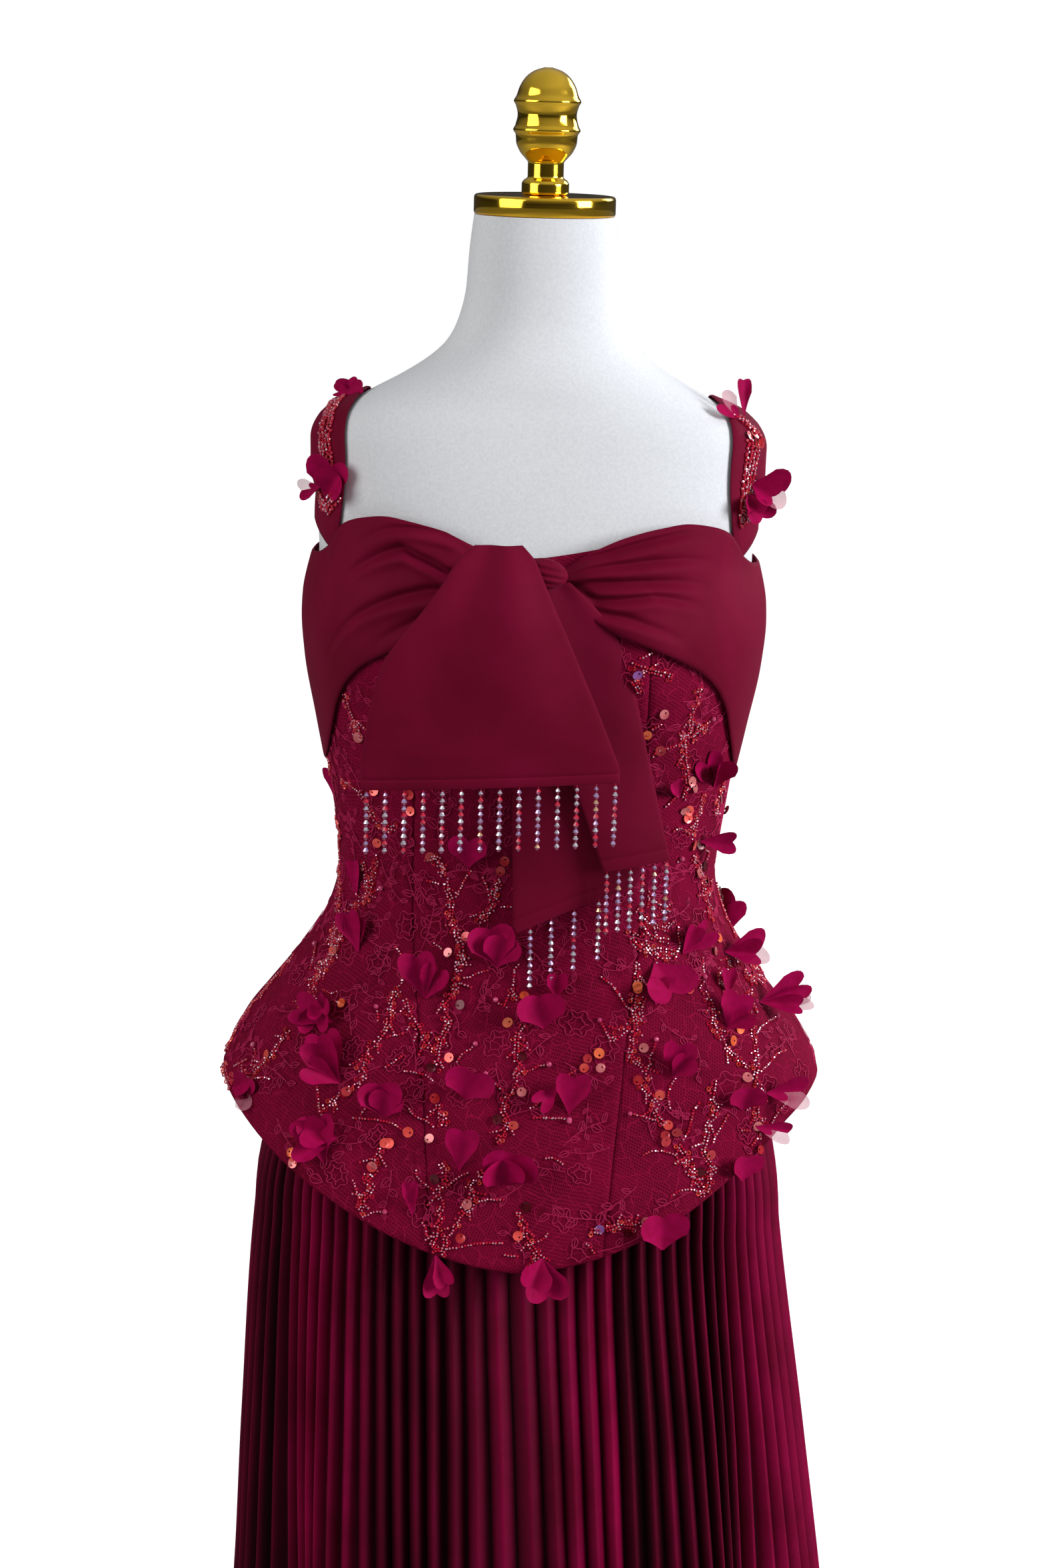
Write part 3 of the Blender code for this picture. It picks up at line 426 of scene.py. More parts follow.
def turned(name, stations, finishName, slotName, node, around=64):
    angles = np.linspace(0, math.tau, around, endpoint=False)
    heights, radii = (np.array(column)[:, None] for column in zip(*stations))
    rings = np.stack([radii * np.sin(angles), -radii * np.cos(angles), heights + 0 * angles], -1)
    points = np.concatenate([rings.reshape(-1, 3), [[0, 0, heights[0, 0]], [0, 0, heights[-1, 0]]]])
    ring = np.arange(len(stations) * around).reshape(-1, around)
    ahead = np.roll(ring, -1, axis=1)
    low, high = len(points) - 2, len(points) - 1
    polygons = np.stack([ring[:-1], ahead[:-1], ahead[1:], ring[1:]], -1).reshape(-1, 4).tolist()
    polygons += [[after, here, low] for here, after in zip(ring[0].tolist(), ahead[0].tolist())]
    polygons += [[here, after, high] for here, after in zip(ring[-1].tolist(), ahead[-1].tolist())]
    mesh = bpy.data.meshes.new(name)
    mesh.from_pydata(points.tolist(), [], polygons)
    piece = put(name, mesh, [finishName], slotName, node)
    mesh.set_sharp_from_angle(angle=50 * degree)
    return piece


def buildForm():
    levels = np.arange(form["top"], form["bottom"] - 1e-6, -form["rise"])
    angles = np.linspace(0, math.tau, form["around"], endpoint=False)
    body = figurePoint(angles[None], levels[:, None])
    middles = body.mean(1, keepdims=True)
    caps = [middles[:1] + (body[:1] - middles[:1]) * share for share in form["closing"]]
    feet = [middles[-1:] + (body[-1:] - middles[-1:]) * share for share in form["closing"][::-1]]
    points = np.concatenate([*caps, body, *feet])
    cover = clothPiece("formBody", points, "form", "form_cloth", "form_body", thick=0, closed=True)
    cover.data.set_sharp_from_angle(angle=60 * degree)
    low, high = (corner.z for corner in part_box("neck_cap"))
    r = form["capRadius"]
    cap = [(low, r - 1.6 * mm), (low + 0.5 * mm, r - 0.5 * mm), (low + 1.6 * mm, r), (high - 2.6 * mm, r),
           (high - 1.0 * mm, r - 0.5 * mm), (high - 0.3 * mm, r - 1.4 * mm), (high, r - 3.0 * mm),
           (high, r * 0.5)]
    turned("neckCap", cap, "gold", "gold", "neck_cap", 96)
    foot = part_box("finial")[0].z
    profile = rowsOf(("height", "radius"), *finialProfile)
    heights = np.concatenate([[0, 0.7], np.linspace(1.5, 88, 90), [90, 91.5, 93, 94, 94.8, 95.3, 95.5]])
    stations = [(foot + height * mm, float(read(profile, "radius", height)) * mm) for height in heights]
    turned("neckFinial", stations, "gold", "gold", "finial", 72)
    for node in ("stand_base", "stand_pole"):
        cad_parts[node].data.materials[0] = finishes["gold"]
    print("form, neck cap and finial done")


# The corset bodice that flares into the peplum: seven lace panels, in millimetres
bodice = {
    "inside": 4.4 * mm, "wall": 2.3 * mm, "cloth": 0.9 * mm, "cell": 4.2 * mm, "rows": 128, "fall": 540,
    "peplum": rowsOf(
        ("z", "left", "right", "front", "back"),
        (780, 98, 56, 44, 46), (850, 84, 48, 30, 32), (890, 68, 48, 20, 23), (925, 58, 57, 14, 16),
        (956, 51, 50, 9, 10), (979, 40, 39, 6, 6), (1001, 28, 28, 4, 4), (1023, 16, 17, 2.4, 2.4),
        (1045, 7, 8, 1.2, 1.2), (1067, 2.5, 2.5, 0.4, 0.4), (1085, 0, 0, 0, 0),
    ),
    "neckline": rowsOf(("degrees", "z"), (0, 1343), (10, 1350), (22, 1359), (34, 1363), (52, 1354),
                       (72, 1331), (90, 1327), (130, 1330), (180, 1331)),
    "hemFront": 792, "hemSide": 921, "hemBack": 812, "hemShape": (0.72, 0.28),
    "princess": rowsOf(("z", "x"), (780, 64), (880, 72), (960, 79), (1075, 88), (1270, 88), (1370, 84)),
    "princessLevels": (770, 1380, 123), "waist": 1075 * mm, "sideSeam": 88 * degree,
    "backSeam": 140 * degree, "seamGap": 0.001, "backTurn": 0.1, "zipRoom": 2.1 * mm,
    "seamTuck": 0.9 * mm, "tuckWidth": 1.5 * mm, "bone": 0.5 * mm, "bonePlace": 5 * mm,
    "boneWidth": 2.2 * mm, "ease": 0.5 * mm,
    # the upper edges lean in at the sides: how far, between which degrees and above which height
    "lean": 3.2 * mm, "leanFrom": 48, "leanUntil": 135, "leanAbove": 1300 * mm,
}


def sideLean(angle, z):
    turn = foldAngle(angle) / degree
    sideways = ramp(turn, bodice["leanFrom"], 16) * ramp(bodice["leanUntil"] - turn, 0, 25)
    return sideways * ramp(z, bodice["leanAbove"], 34 * mm) ** 1.6


def bodicePoint(angle, z, depth=1.0):
    out = bodice["inside"] + roundBlend(bodice["peplum"], angle, z) + depth * bodice["wall"]
    return figurePoint(angle, z, out - bodice["lean"] * sideLean(angle, z))


def neckline(angle):
    return read(bodice["neckline"], "z", foldAngle(angle) / degree) * mm


def peplumHem(angle):
    turn = foldAngle(angle)
    low = np.where(turn < math.pi / 2, bodice["hemFront"], bodice["hemBack"])
    roundly, straight = bodice["hemShape"]
    rise = roundly * np.sin(turn) ** 2 + straight * (1 - np.abs(turn - math.pi / 2) / (math.pi / 2))
    return (low + (bodice["hemSide"] - low) * rise) * mm


# Where the cloth lies clear of the bodice's edges by a margin
def insideEdges(angle, z, margin):
    return (z < neckline(angle) - margin) & (z > peplumHem(angle) + margin)


def princessAngles():
    levels = np.linspace(*bodice["princessLevels"])
    target = read(bodice["princess"], "x", levels) * mm
    low, high = np.zeros(len(levels)), np.full(len(levels), math.pi / 2)

    def inside(turn):
        return bodicePoint(turn, levels * mm, 0.5)[:, 0] < target

    return levels * mm, halved(inside, low, high, 30)


princessLevels, princessTurns = princessAngles()


def princess(z):
    return np.interp(z, princessLevels, princessTurns)


# How far from the middle of the back the cloth is after a small turn
def backReach(z):
    return bodicePoint(math.pi - bodice["backTurn"], z, 0.5)[..., 0]


def backEdge(z):
    return math.pi - bodice["backTurn"] * bodice["zipRoom"] / backReach(z)


# A place on the bodice's cloth, moved along it by across and up, with the cloth's own axes there
def onBodice(angle, z, across=0.0, up=0.0, lift=0.0):
    angle, z = np.asarray(angle, float), np.asarray(z, float)
    step = 1e-3
    sideways = bodicePoint(angle + step, z) - bodicePoint(angle - step, z)
    upwards = bodicePoint(angle, z + step) - bodicePoint(angle, z - step)
    perTurn, perRise = (np.linalg.norm(move, axis=-1) / (2 * step) for move in (sideways, upwards))
    turn, level = angle + across / perTurn, z + up / perRise
    right = unit(bodicePoint(turn + step, level) - bodicePoint(turn - step, level))
    rise = bodicePoint(turn, level + step) - bodicePoint(turn, level - step)
    normal = unit(np.cross(right, rise))
    above = np.cross(normal, right)
    return bodicePoint(turn, level) + normal * np.reshape(lift, (-1, 1)), right, above, normal, turn, level


# Flowers, leaves and stems of the lace, drawn flat in millimetres; each line becomes a thin cord
def leafLines(length, width, turn, x=0.0, y=0.0):
    t = np.linspace(0, 1, 7)
    side = width * np.sin(math.pi * t ** 0.8)
    rib = np.linspace(0, 0.85, 3)
    curves = (side, t), (-side, t), (0 * rib, rib)
    lines = [np.stack([x0, share * length], 1) for x0, share in curves]
    c, s = math.cos(turn), math.sin(turn)
    return [line @ np.array([[c, s], [-s, c]]) + (x, y) for line in lines]


laceMotifs = {
    "chance": 11, "spacing": 36, "rowStep": 0.88, "radius": 175, "levels": (800, 1350), "astray": 0.16,
    "drift": 8, "size": (13, 22), "margin": 2 * mm, "flowerShare": 0.45, "petals": (5, 8), "uneven": 0.14,
    "rings": ((0.62, 0.26), (0.30, 0.20)), "ribs": (0.32, 0.42, 0.50), "stemStep": 0.17,
    "leafSteps": (2, 5, 8, 11), "leafLength": (0.34, 0.6), "leafWidth": (0.2, 0.32), "leafTurn": (0.6, 1.0),
    "cordWidth": 0.85 * mm, "cordHeight": 0.45 * mm, "cordLift": 0.35 * mm,
}


# A flower with a scalloped outline and ribs, or a sprig: a winding stem with leaves on alternate sides
def flowerLines(chance):
    size = chance.uniform(*laceMotifs["size"])
    lines, leaves = [], []
    t = np.linspace(0, 1, 13)
    base, bend = 0.0, 1.8
    if chance.random() < laceMotifs["flowerShare"]:
        count, phase = chance.integers(*laceMotifs["petals"]), chance.uniform(0, 6)
        ring = np.linspace(0, math.tau, 37)
        uneven = 1 + laceMotifs["uneven"] * np.sin(2 * ring + phase)
        for share, depth in laceMotifs["rings"]:
            radius = size * share * uneven * (1 - depth * np.abs(np.cos(count * ring / 2)) ** 3)
            lines.append(np.stack([np.cos(ring), np.sin(ring)], 1) * radius[:, None])
        reach = np.array(laceMotifs["ribs"])[:, None] * size
        for k in range(count):
            turn = math.tau * (k + 0.5) / count
            lines.append(reach * (math.cos(turn), math.sin(turn)))
        leaves.append((0.0, 0.0, size * 0.5))
        base, bend = 0.62, 1.0
    heading = chance.uniform(0, math.tau) + chance.uniform(-bend, bend) * t
    steps = np.stack([np.sin(heading), np.cos(heading)], 1)
    stem = steps[:1] * size * base + np.cumsum(steps, 0) * size * laceMotifs["stemStep"]
    lines.append(stem)
    for k in laceMotifs["leafSteps"]:
        side = 1 if k % 2 else -1
        long = size * chance.uniform(*laceMotifs["leafLength"])
        width = long * chance.uniform(*laceMotifs["leafWidth"])
        turn = -heading[k] + side * chance.uniform(*laceMotifs["leafTurn"])
        lines += leafLines(long, width, turn, *stem[k])
        leaves.append((*(stem[k] + 0.4 * long * steps[k]), size * 0.2))
    return lines, leaves


def motifPlaces(chance):
    places = []
    count = int(math.tau * laceMotifs["radius"] / laceMotifs["spacing"])
    astray, drift = laceMotifs["astray"], laceMotifs["drift"]
    rowStep = laceMotifs["spacing"] * laceMotifs["rowStep"]
    for row, level in enumerate(np.arange(*laceMotifs["levels"], rowStep)):
        for k in range(count):
            turn = (k + 0.5 * (row % 2) + chance.uniform(-astray, astray)) * math.tau / count - math.pi
            places.append((turn, (level + chance.uniform(-drift, drift)) * mm, chance.uniform(0, math.tau)))
    return places


def laceDesign():
    chance = np.random.default_rng(laceMotifs["chance"])
    flat, places, lengths, spots, radii = [], [], [], [], []
    for turn, level, spin in motifPlaces(chance):
        lines, leaves = flowerLines(chance)
        rotate = np.array([[math.cos(spin), math.sin(spin)], [-math.sin(spin), math.cos(spin)]]) * mm
        for line in lines:
            flat.append(line @ rotate)
            places += [(turn, level)] * len(line)
            lengths.append(len(line))
        for x, y, radius in leaves:
            spots.append((turn, level, *(np.array([x, y]) @ rotate)))
            radii.append(radius * mm)
    flat, places, lengths, spots = np.concatenate(flat), np.array(places), np.array(lengths), np.array(spots)
    angle, z = onBodice(*places.T, *flat.T)[4:]
    firsts = np.concatenate([[0], np.cumsum(lengths)[:-1]])
    clear = insideEdges(angle, z, laceMotifs["margin"]) & (np.abs(angle) < math.pi - 0.04)
    kept = np.repeat(np.logical_and.reduceat(clear, firsts), lengths)
    owner = np.repeat(np.arange(len(lengths)), lengths)[kept]
    angle, z = angle[kept], z[kept]
    front = np.isin(owner, owner[np.abs(angle) < math.pi / 2])
    for name, chosen in (("laceCordsFront", front), ("laceCordsBack", ~front)):
        points, faces = cordStrips(angle[chosen], z[chosen], owner[chosen])
        joined(name, [(points, faces, np.zeros(len(faces), int))], ["cord"], "lace")
    return onBodice(*spots.T)[0], np.array(radii)


# Each cord is a low ridge along its line; lines with different owners aren't joined
def cordStrips(angle, z, owner):
    points, _, _, normal = onBodice(angle, z)[:4]
    here = np.arange(len(points))
    beside = []
    for step in (1, -1):
        other = np.clip(here + step, 0, len(points) - 1)
        beside.append(points[np.where(owner[other] == owner, other, here)])
    side = np.cross(normal, unit(beside[0] - beside[1])) * laceMotifs["cordWidth"] / 2
    base = points + normal * laceMotifs["cordLift"]
    strip = np.stack([base - side, base + normal * laceMotifs["cordHeight"], base + side], 1)
    first = np.nonzero(owner[:-1] == owner[1:])[0] * 3
    faces = np.concatenate([np.stack([first, first + 1, first + 4, first + 3], 1),
                            np.stack([first + 1, first + 2, first + 5, first + 4], 1)])
    return strip.reshape(-1, 3), faces.tolist()


# How solid the lace is at each point: full at a leaf's middle, none 1.6 radii away
def workedShare(points, worked):
    spots, radii = worked
    flat = points.reshape(-1, 3)
    share = np.zeros(len(flat))
    margin = 20 * mm
    near = (spots > flat.min(0) - margin).all(1) & (spots < flat.max(0) + margin).all(1)
    for spot, radius in zip(spots[near], radii[near]):
        share = np.maximum(share, np.clip(1.6 - np.linalg.norm(flat - spot, axis=1) / radius, 0, 1))
    return share


def bodicePanel(name, node, start, end, worked):
    middle = bodice["waist"]
    width = np.linalg.norm(bodicePoint(start(middle), middle) - bodicePoint(end(middle), middle))
    count = max(14, int(width * 1.25 / bodice["cell"]))
    tuck = 1.2 * mm / width
    inner = np.linspace(0, 1, count)[1:-1]
    shares = np.concatenate([[0, tuck, 2.2 * tuck], inner, [1 - 2.2 * tuck, 1 - tuck, 1]])
    down = np.concatenate([[0, 0.003], np.linspace(0, 1, bodice["rows"])[1:-1], [0.997, 1]])[:, None]
    angle = start(middle) + (end(middle) - start(middle)) * shares[None] + 0 * down
    for _ in range(7):
        z = neckline(angle) + (peplumHem(angle) - neckline(angle)) * down
        angle = start(z) + (end(z) - start(z)) * shares
    points = bodicePoint(angle, z)
    gap = np.minimum(shares, 1 - shares)[None] * width
    edge = np.minimum(down, 1 - down) * bodice["fall"] * mm
    tucked = bell(gap, 0, bodice["tuckWidth"]) + 0.8 * bell(edge, 0, bodice["tuckWidth"])
    bone = bodice["bone"] * bell(gap, bodice["bonePlace"], bodice["boneWidth"])
    ease = bodice["ease"] * np.sin(z * 61 + angle * 5) * np.sin(angle * 17 + z * 23)
    normal = onBodice(angle, z)[3]
    points = points + normal * (bone + ease - bodice["seamTuck"] * tucked)[..., None]
    share = workedShare(points, worked)
    panel = clothPiece(name, points, "lace", "lace", node, thick=bodice["cloth"],
                       attributes={"worked": share})
    wide, long = flatSize(points)


def buildBodice():
    worked = laceDesign()
    side, back, gap = bodice["sideSeam"], bodice["backSeam"], bodice["seamGap"]

    def fixed(value):
        return lambda z: value + 0 * z

    panels = {
        "bodice_centre_front": (lambda z: gap - princess(z), lambda z: princess(z) - gap),
        "bodice_side_front_right": (lambda z: princess(z) + gap, fixed(side - gap)),
        "bodice_side_back_right": (fixed(side + gap), fixed(back - gap)),
        "bodice_back_right": (fixed(back + gap), backEdge),
        "bodice_side_front_left": (fixed(gap - side), lambda z: -princess(z) - gap),
        "bodice_side_back_left": (fixed(gap - back), fixed(-side - gap)),
        "bodice_back_left": (lambda z: -backEdge(z), fixed(-back - gap)),
    }
    for node, (start, end) in panels.items():
        words = node.split("_")
        bodicePanel(words[0] + "".join(word.capitalize() for word in words[1:]), node, start, end, worked)
    print("lace bodice done")


# The knotted bust band; its creases spread from the knot
band = {
    "rows": rowsOf(
        ("degrees", "lower", "upper", "out", "puff"),
        (0, 1316, 1333, 10.5, 1), (5, 1310, 1337, 12.0, 2), (10, 1302, 1350, 13.2, 4),
        (17, 1291, 1361, 13.2, 5), (25, 1281, 1367, 12.2, 6), (33, 1271, 1370, 11.2, 6),
        (43, 1257, 1367, 10.2, 6), (51, 1241, 1361, 10.0, 4.5), (58, 1222, 1350, 9.6, 3.5),
        (66, 1196, 1339, 9.0, 2.5), (75, 1176, 1333, 8.4, 1.8), (90, 1163, 1331, 8.0, 1.4),
        (130, 1172, 1336, 8.0, 3), (180, 1184, 1338, 8.0, 3),
    ),
    "satin": 2.0 * mm, "cloth": 0.9 * mm, "lean": 5.0 * mm, "rolled": 1.3, "strength": {1: 1.5, -1: 1.95},
    # by side, each crease's run in degrees and shares of the height (0 is the upper edge), then its depth
    # and half width in mm
    "creases": {
        1: (
            ((2, 0.02, 5, 0.05, 14, 0.13, 23, 0.10, 40, 0.05), 3.2, 3.2),
            ((1, 0.20, 8, 0.26, 18, 0.29, 30, 0.27, 46, 0.22), 2.6, 3.2),
            ((2, 0.36, 7, 0.48, 16, 0.48, 26, 0.45, 44, 0.39), 3.6, 3.4),
            ((3, 0.50, 8, 0.56, 12, 0.70, 20, 0.62, 26, 0.56, 42, 0.55), 3.0, 3.2),
            ((3, 0.72, 10, 0.84, 20, 0.80, 36, 0.84), 2.6, 3.6),
        ),
        -1: (
            ((2, 0.30, 10, 0.42, 18, 0.43, 21, 0.35, 29, 0.23, 37, 0.27, 52, 0.36), 4.0, 3.6),
            ((10, 0.02, 14, 0.16, 17, 0.34), 2.6, 2.6),
            ((16, 0.03, 24, 0.05, 32, 0.09, 44, 0.16), 2.2, 2.8),
            ((2, 0.60, 12, 0.60, 24, 0.58, 40, 0.63, 58, 0.72), 3.2, 4.2),
            ((3, 0.78, 12, 0.76, 24, 0.80, 38, 0.90), 2.8, 3.6),
        ),
    },
}


def bandPoint(angle, across, side):
    degrees = angle / degree
    rows = band["rows"]
    upper, lower = read(rows, "upper", degrees), read(rows, "lower", degrees)
    z = (upper + (lower - upper) * across) * mm
    puff = read(rows, "puff", degrees) * np.sin(math.pi * across) ** 0.8
    creased = 0.0
    for run, depth, wide in band["creases"][side]:
        stops, shares = np.reshape(run, (-1, 2)).T
        away = (across - np.interp(degrees, stops, shares)) * (upper - lower) / wide
        fade = ramp(degrees - stops[0] + 3, 0, 4) * ramp(stops[-1] - degrees, 0, 0.45 * stops[-1])
        crease = 0.55 * bell(away, 2.0, 1.4) - bell(away, 0, 1)
        creased = creased + band["strength"][side] * depth * fade * crease
    edge = np.minimum(across, 1 - across) * (upper - lower)
    rolled = -band["rolled"] * bell(edge, 0, 1.4)
    out = (read(rows, "out", degrees) + puff + creased + rolled) * mm + band["satin"]
    out = out - band["lean"] * sideLean(angle, z)
    point = figurePoint(angle, z, out)
    point[..., 0] *= side
    return point


def buildBand():
    for name, node, side in (("bandRight", "band_right", 1), ("bandLeft", "band_left", -1)):
        front = 0.03 + 59.97 * (np.linspace(0, 1, 80) ** 1.1)  # degrees, closest together at the knot
        degrees = np.concatenate([front, np.linspace(60, 179.8, 50)[1:]])
        if side < 0:
            degrees = degrees[::-1]
        across = np.concatenate([[0, 0.008], np.linspace(0, 1, 76)[1:-1], [0.992, 1]])
        points = bandPoint(degrees[None] * degree, across[:, None], side)
        piece = clothPiece(name, points, "satin", "satin", node, thick=band["cloth"])
        wide, long = flatSize(points)
    print("bust band done")


knot = {"folds": 7, "foldDepth": 0.16, "taper": 0.12, "squash": 0.88, "drop": 0.10}


def buildKnot():
    low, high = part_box("knot")
    centre, half = (low + high) / 2, (high - low) / 2
    turns = np.linspace(0, math.tau, 64, endpoint=False)
    rises = np.linspace(0.02, math.pi - 0.02, 40)[:, None]
    x, y, z = np.sin(rises) * np.sin(turns), -np.sin(rises) * np.cos(turns), np.cos(rises) + 0 * turns
    crease = 1 - knot["foldDepth"] * np.abs(np.cos(knot["folds"] * (z + 0.35 * x))) ** 3 * (y < 0)
    points = np.stack([centre.x + half.x * x * (1 - knot["taper"] * z), centre.y + half.y * y * crease,
                       centre.z + half.z * (z * knot["squash"] - knot["drop"])], -1)
    clothPiece("knotWrap", points, "satin", "satin", "knot", thick=0, closed=True)


# The band's three hanging tails with bead fringes: edges and distance in front of the axis, in millimetres
tails = {
    "Front": {
        "rows": rowsOf(("z", "left", "right", "front"), (1171, -126, 67, 159), (1190, -127.5, 67, 161),
                       (1205, -125, 62, 163), (1237, -120, 49, 166), (1268, -112, 35.5, 168.5),
                       (1290, -98, 26, 169), (1305, -86, 19, 168.5), (1335, -65, 5.5, 163),
                       (1347, -58, 0, 158), (1358, -45, -10, 151)),
        "folds": (1.5, 2.8, 11), "turned": 0.0, "strands": 14, "span": (0.02, 0.985),
        "node": "tail_front", "fringe": "fringe_front",
    },
    "Right": {
        "rows": rowsOf(("z", "left", "right", "front"), (1105, 58, 111, 133), (1150, 42, 100, 138),
                       (1200, 21, 88, 143), (1250, 6, 76, 147), (1285, 4, 64, 149), (1305, 4, 50, 149),
                       (1329, 6, 26, 146)),
        "folds": (1.0, 1.5, 9), "turned": 0.22, "strands": 6, "span": (0.05, 0.95),
        "node": "tail_right", "fringe": "fringe_right",
    },
    "Back": {
        "rows": rowsOf(("z", "left", "right", "front"), (1052, -10, 67, 125), (1110, -11.5, 88, 127),
                       (1160, -13, 78, 131), (1230, -8, 52, 136), (1290, 0, 30, 139), (1325, 3, 22, 139)),
        "folds": (0.5, 1.0, 39), "turned": 0.15, "strands": 4, "span": (0.17, 0.73),
        "node": "tail_back", "fringe": "fringe_back",
    },
}
tailCloth = {"thick": 0.9 * mm, "curve": 26, "wall": 2.0, "hemLine": 0.9585, "rolled": 0.8}
fringe = {"length": 48, "beads": 9, "beadWidth": 4.7 * mm, "beadHeight": 5.0 * mm, "thread": 0.6 * mm,
          "mix": (0.38, 0.34, 0.06, 0.22)}


# A place on a tail: v runs down it and u across; its folds are a count, a height in mm and the foot's slant
def tailPoint(tail, v, u, depth):
    rows = tail["rows"]
    top, foot = rows[0][-1], rows[0][0]
    count, height, slant = tail["folds"]
    level = top + (foot + slant * u - top) * v
    left, right = read(rows, "left", level), read(rows, "right", level)
    x = left + (right - left) * u
    curve = tailCloth["curve"] * (u - 0.5) ** 2 * np.minimum(1.0, (right - left) / 120)
    wave = height * np.cos(math.tau * count * u) * np.sin(math.pi * np.minimum(1.0, 0.15 + v)) ** 0.5
    y = -read(rows, "front", level) + curve - wave - depth * tailCloth["wall"]
    y = y + tail["turned"] * (right - left) * u
    return np.stack(np.broadcast_arrays(x, y, level), -1) * mm


def buildTails():
    hemLine = tailCloth["hemLine"]
    v = np.concatenate([np.linspace(0, 0.955, 60), [hemLine, 0.962, 0.966, 0.975, 0.99, 0.998, 1]])[:, None]
    u = np.concatenate([[0, 0.006], np.linspace(0, 1, 48)[1:-1], [0.994, 1]])[None]
    hem = 0.55 * ramp(v, hemLine, 0.005) - 0.5 * bell(v, hemLine, 0.002)
    roll = -tailCloth["rolled"] * bell(np.minimum(u, 1 - u), 0, 0.008) - 0.6 * bell(1 - v, 0, 0.004)
    for label, tail in tails.items():
        points = tailPoint(tail, v, u, 1.0)
        tail["shift"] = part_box(tail["node"])[0].y - points[..., 1].min()
        points[..., 1] -= (hem + roll) * mm
        points[..., 1] += tail["shift"]
        piece = clothPiece("tail" + label, points, "satin", "satin", tail["node"], thick=tailCloth["thick"])
        wide, long = flatSize(points)
        strands = buildFringe(label, tail)
    print("tails and fringes done")


# Rings of points stacked along z, (radius, height) each, with a part for each band between rings
def stackedShape(sides, rings, bandParts, lowPart=None, topPart=None, closed=True):
    angles = np.linspace(0, math.tau, sides, endpoint=False)
    points = np.array([(r * math.cos(a), r * math.sin(a), z) for r, z in rings for a in angles])
    faces, parts = [], []
    for first, part in zip(range(0, len(rings) * sides, sides), bandParts):
        for k in range(sides):
            after = (k + 1) % sides
            faces.append([first + k, first + after, first + sides + after, first + sides + k])
            parts.append(part)
    if closed:
        last = (len(rings) - 1) * sides
        faces += [list(range(sides))[::-1], [last + k for k in range(sides)]]
        parts += [lowPart, topPart]
    return points, faces, parts


def buildFringe(label, tail):
    chance = np.random.default_rng(len(label))
    u = np.linspace(*tail["span"], tail["strands"])
    tops = tailPoint(tail, np.ones(1), u, 0.5)
    tops[..., 1] += tail["shift"]
    tops[..., 2] -= 0.8 * mm
    count = fringe["beads"]
    places, sizes = [], []
    for top in tops.reshape(-1, 3):
        lean = chance.uniform(-0.012, 0.012)
        for k in range(count):
            drop = (k + 0.6) * fringe["length"] / count * mm
            places.append(top + (lean * drop, 0, -drop))
            sizes.append(chance.uniform(0.9, 1.05) * (0.82 if k == 0 else 1.0))
    places, sizes = np.array(places), np.array(sizes)
    spin = chance.uniform(0, math.tau, len(places))
    cos, sin, zero = np.cos(spin), np.sin(spin), np.zeros(len(places))
    width, height, thick = fringe["beadWidth"], fringe["beadHeight"], fringe["thread"]
    bases = np.stack([np.stack([cos, sin, zero], 1) * width, np.stack([-sin, cos, zero], 1) * width,
                      np.stack([zero, zero, zero + height], 1)], 1)
    own = chance.choice(4, len(places), p=fringe["mix"])
    outline = ((0.16, -0.5), (0.22, -0.44), (0.5, 0.0), (0.22, 0.44), (0.16, 0.5))
    bicone = stackedShape(8, outline, (4, 4, None, None), 4)
    thread = stackedShape(4, ((0.5, -1.0), (0.5, 0.0)), (None,))
    strings = np.tile(np.diag([thick, thick, fringe["length"] * mm]), (len(u), 1, 1))
    groups = [copies(bicone, places, bases, sizes, own),
              copies(thread, tops.reshape(-1, 3) + (0, 0, 1.2 * mm), strings, 1.0, 3)]
    return joined("fringe" + label, groups, ["crystal", "lilac", "amber", "redGlass", "wineCrystal"],
                  "crystal", tail["fringe"], smooth=False)


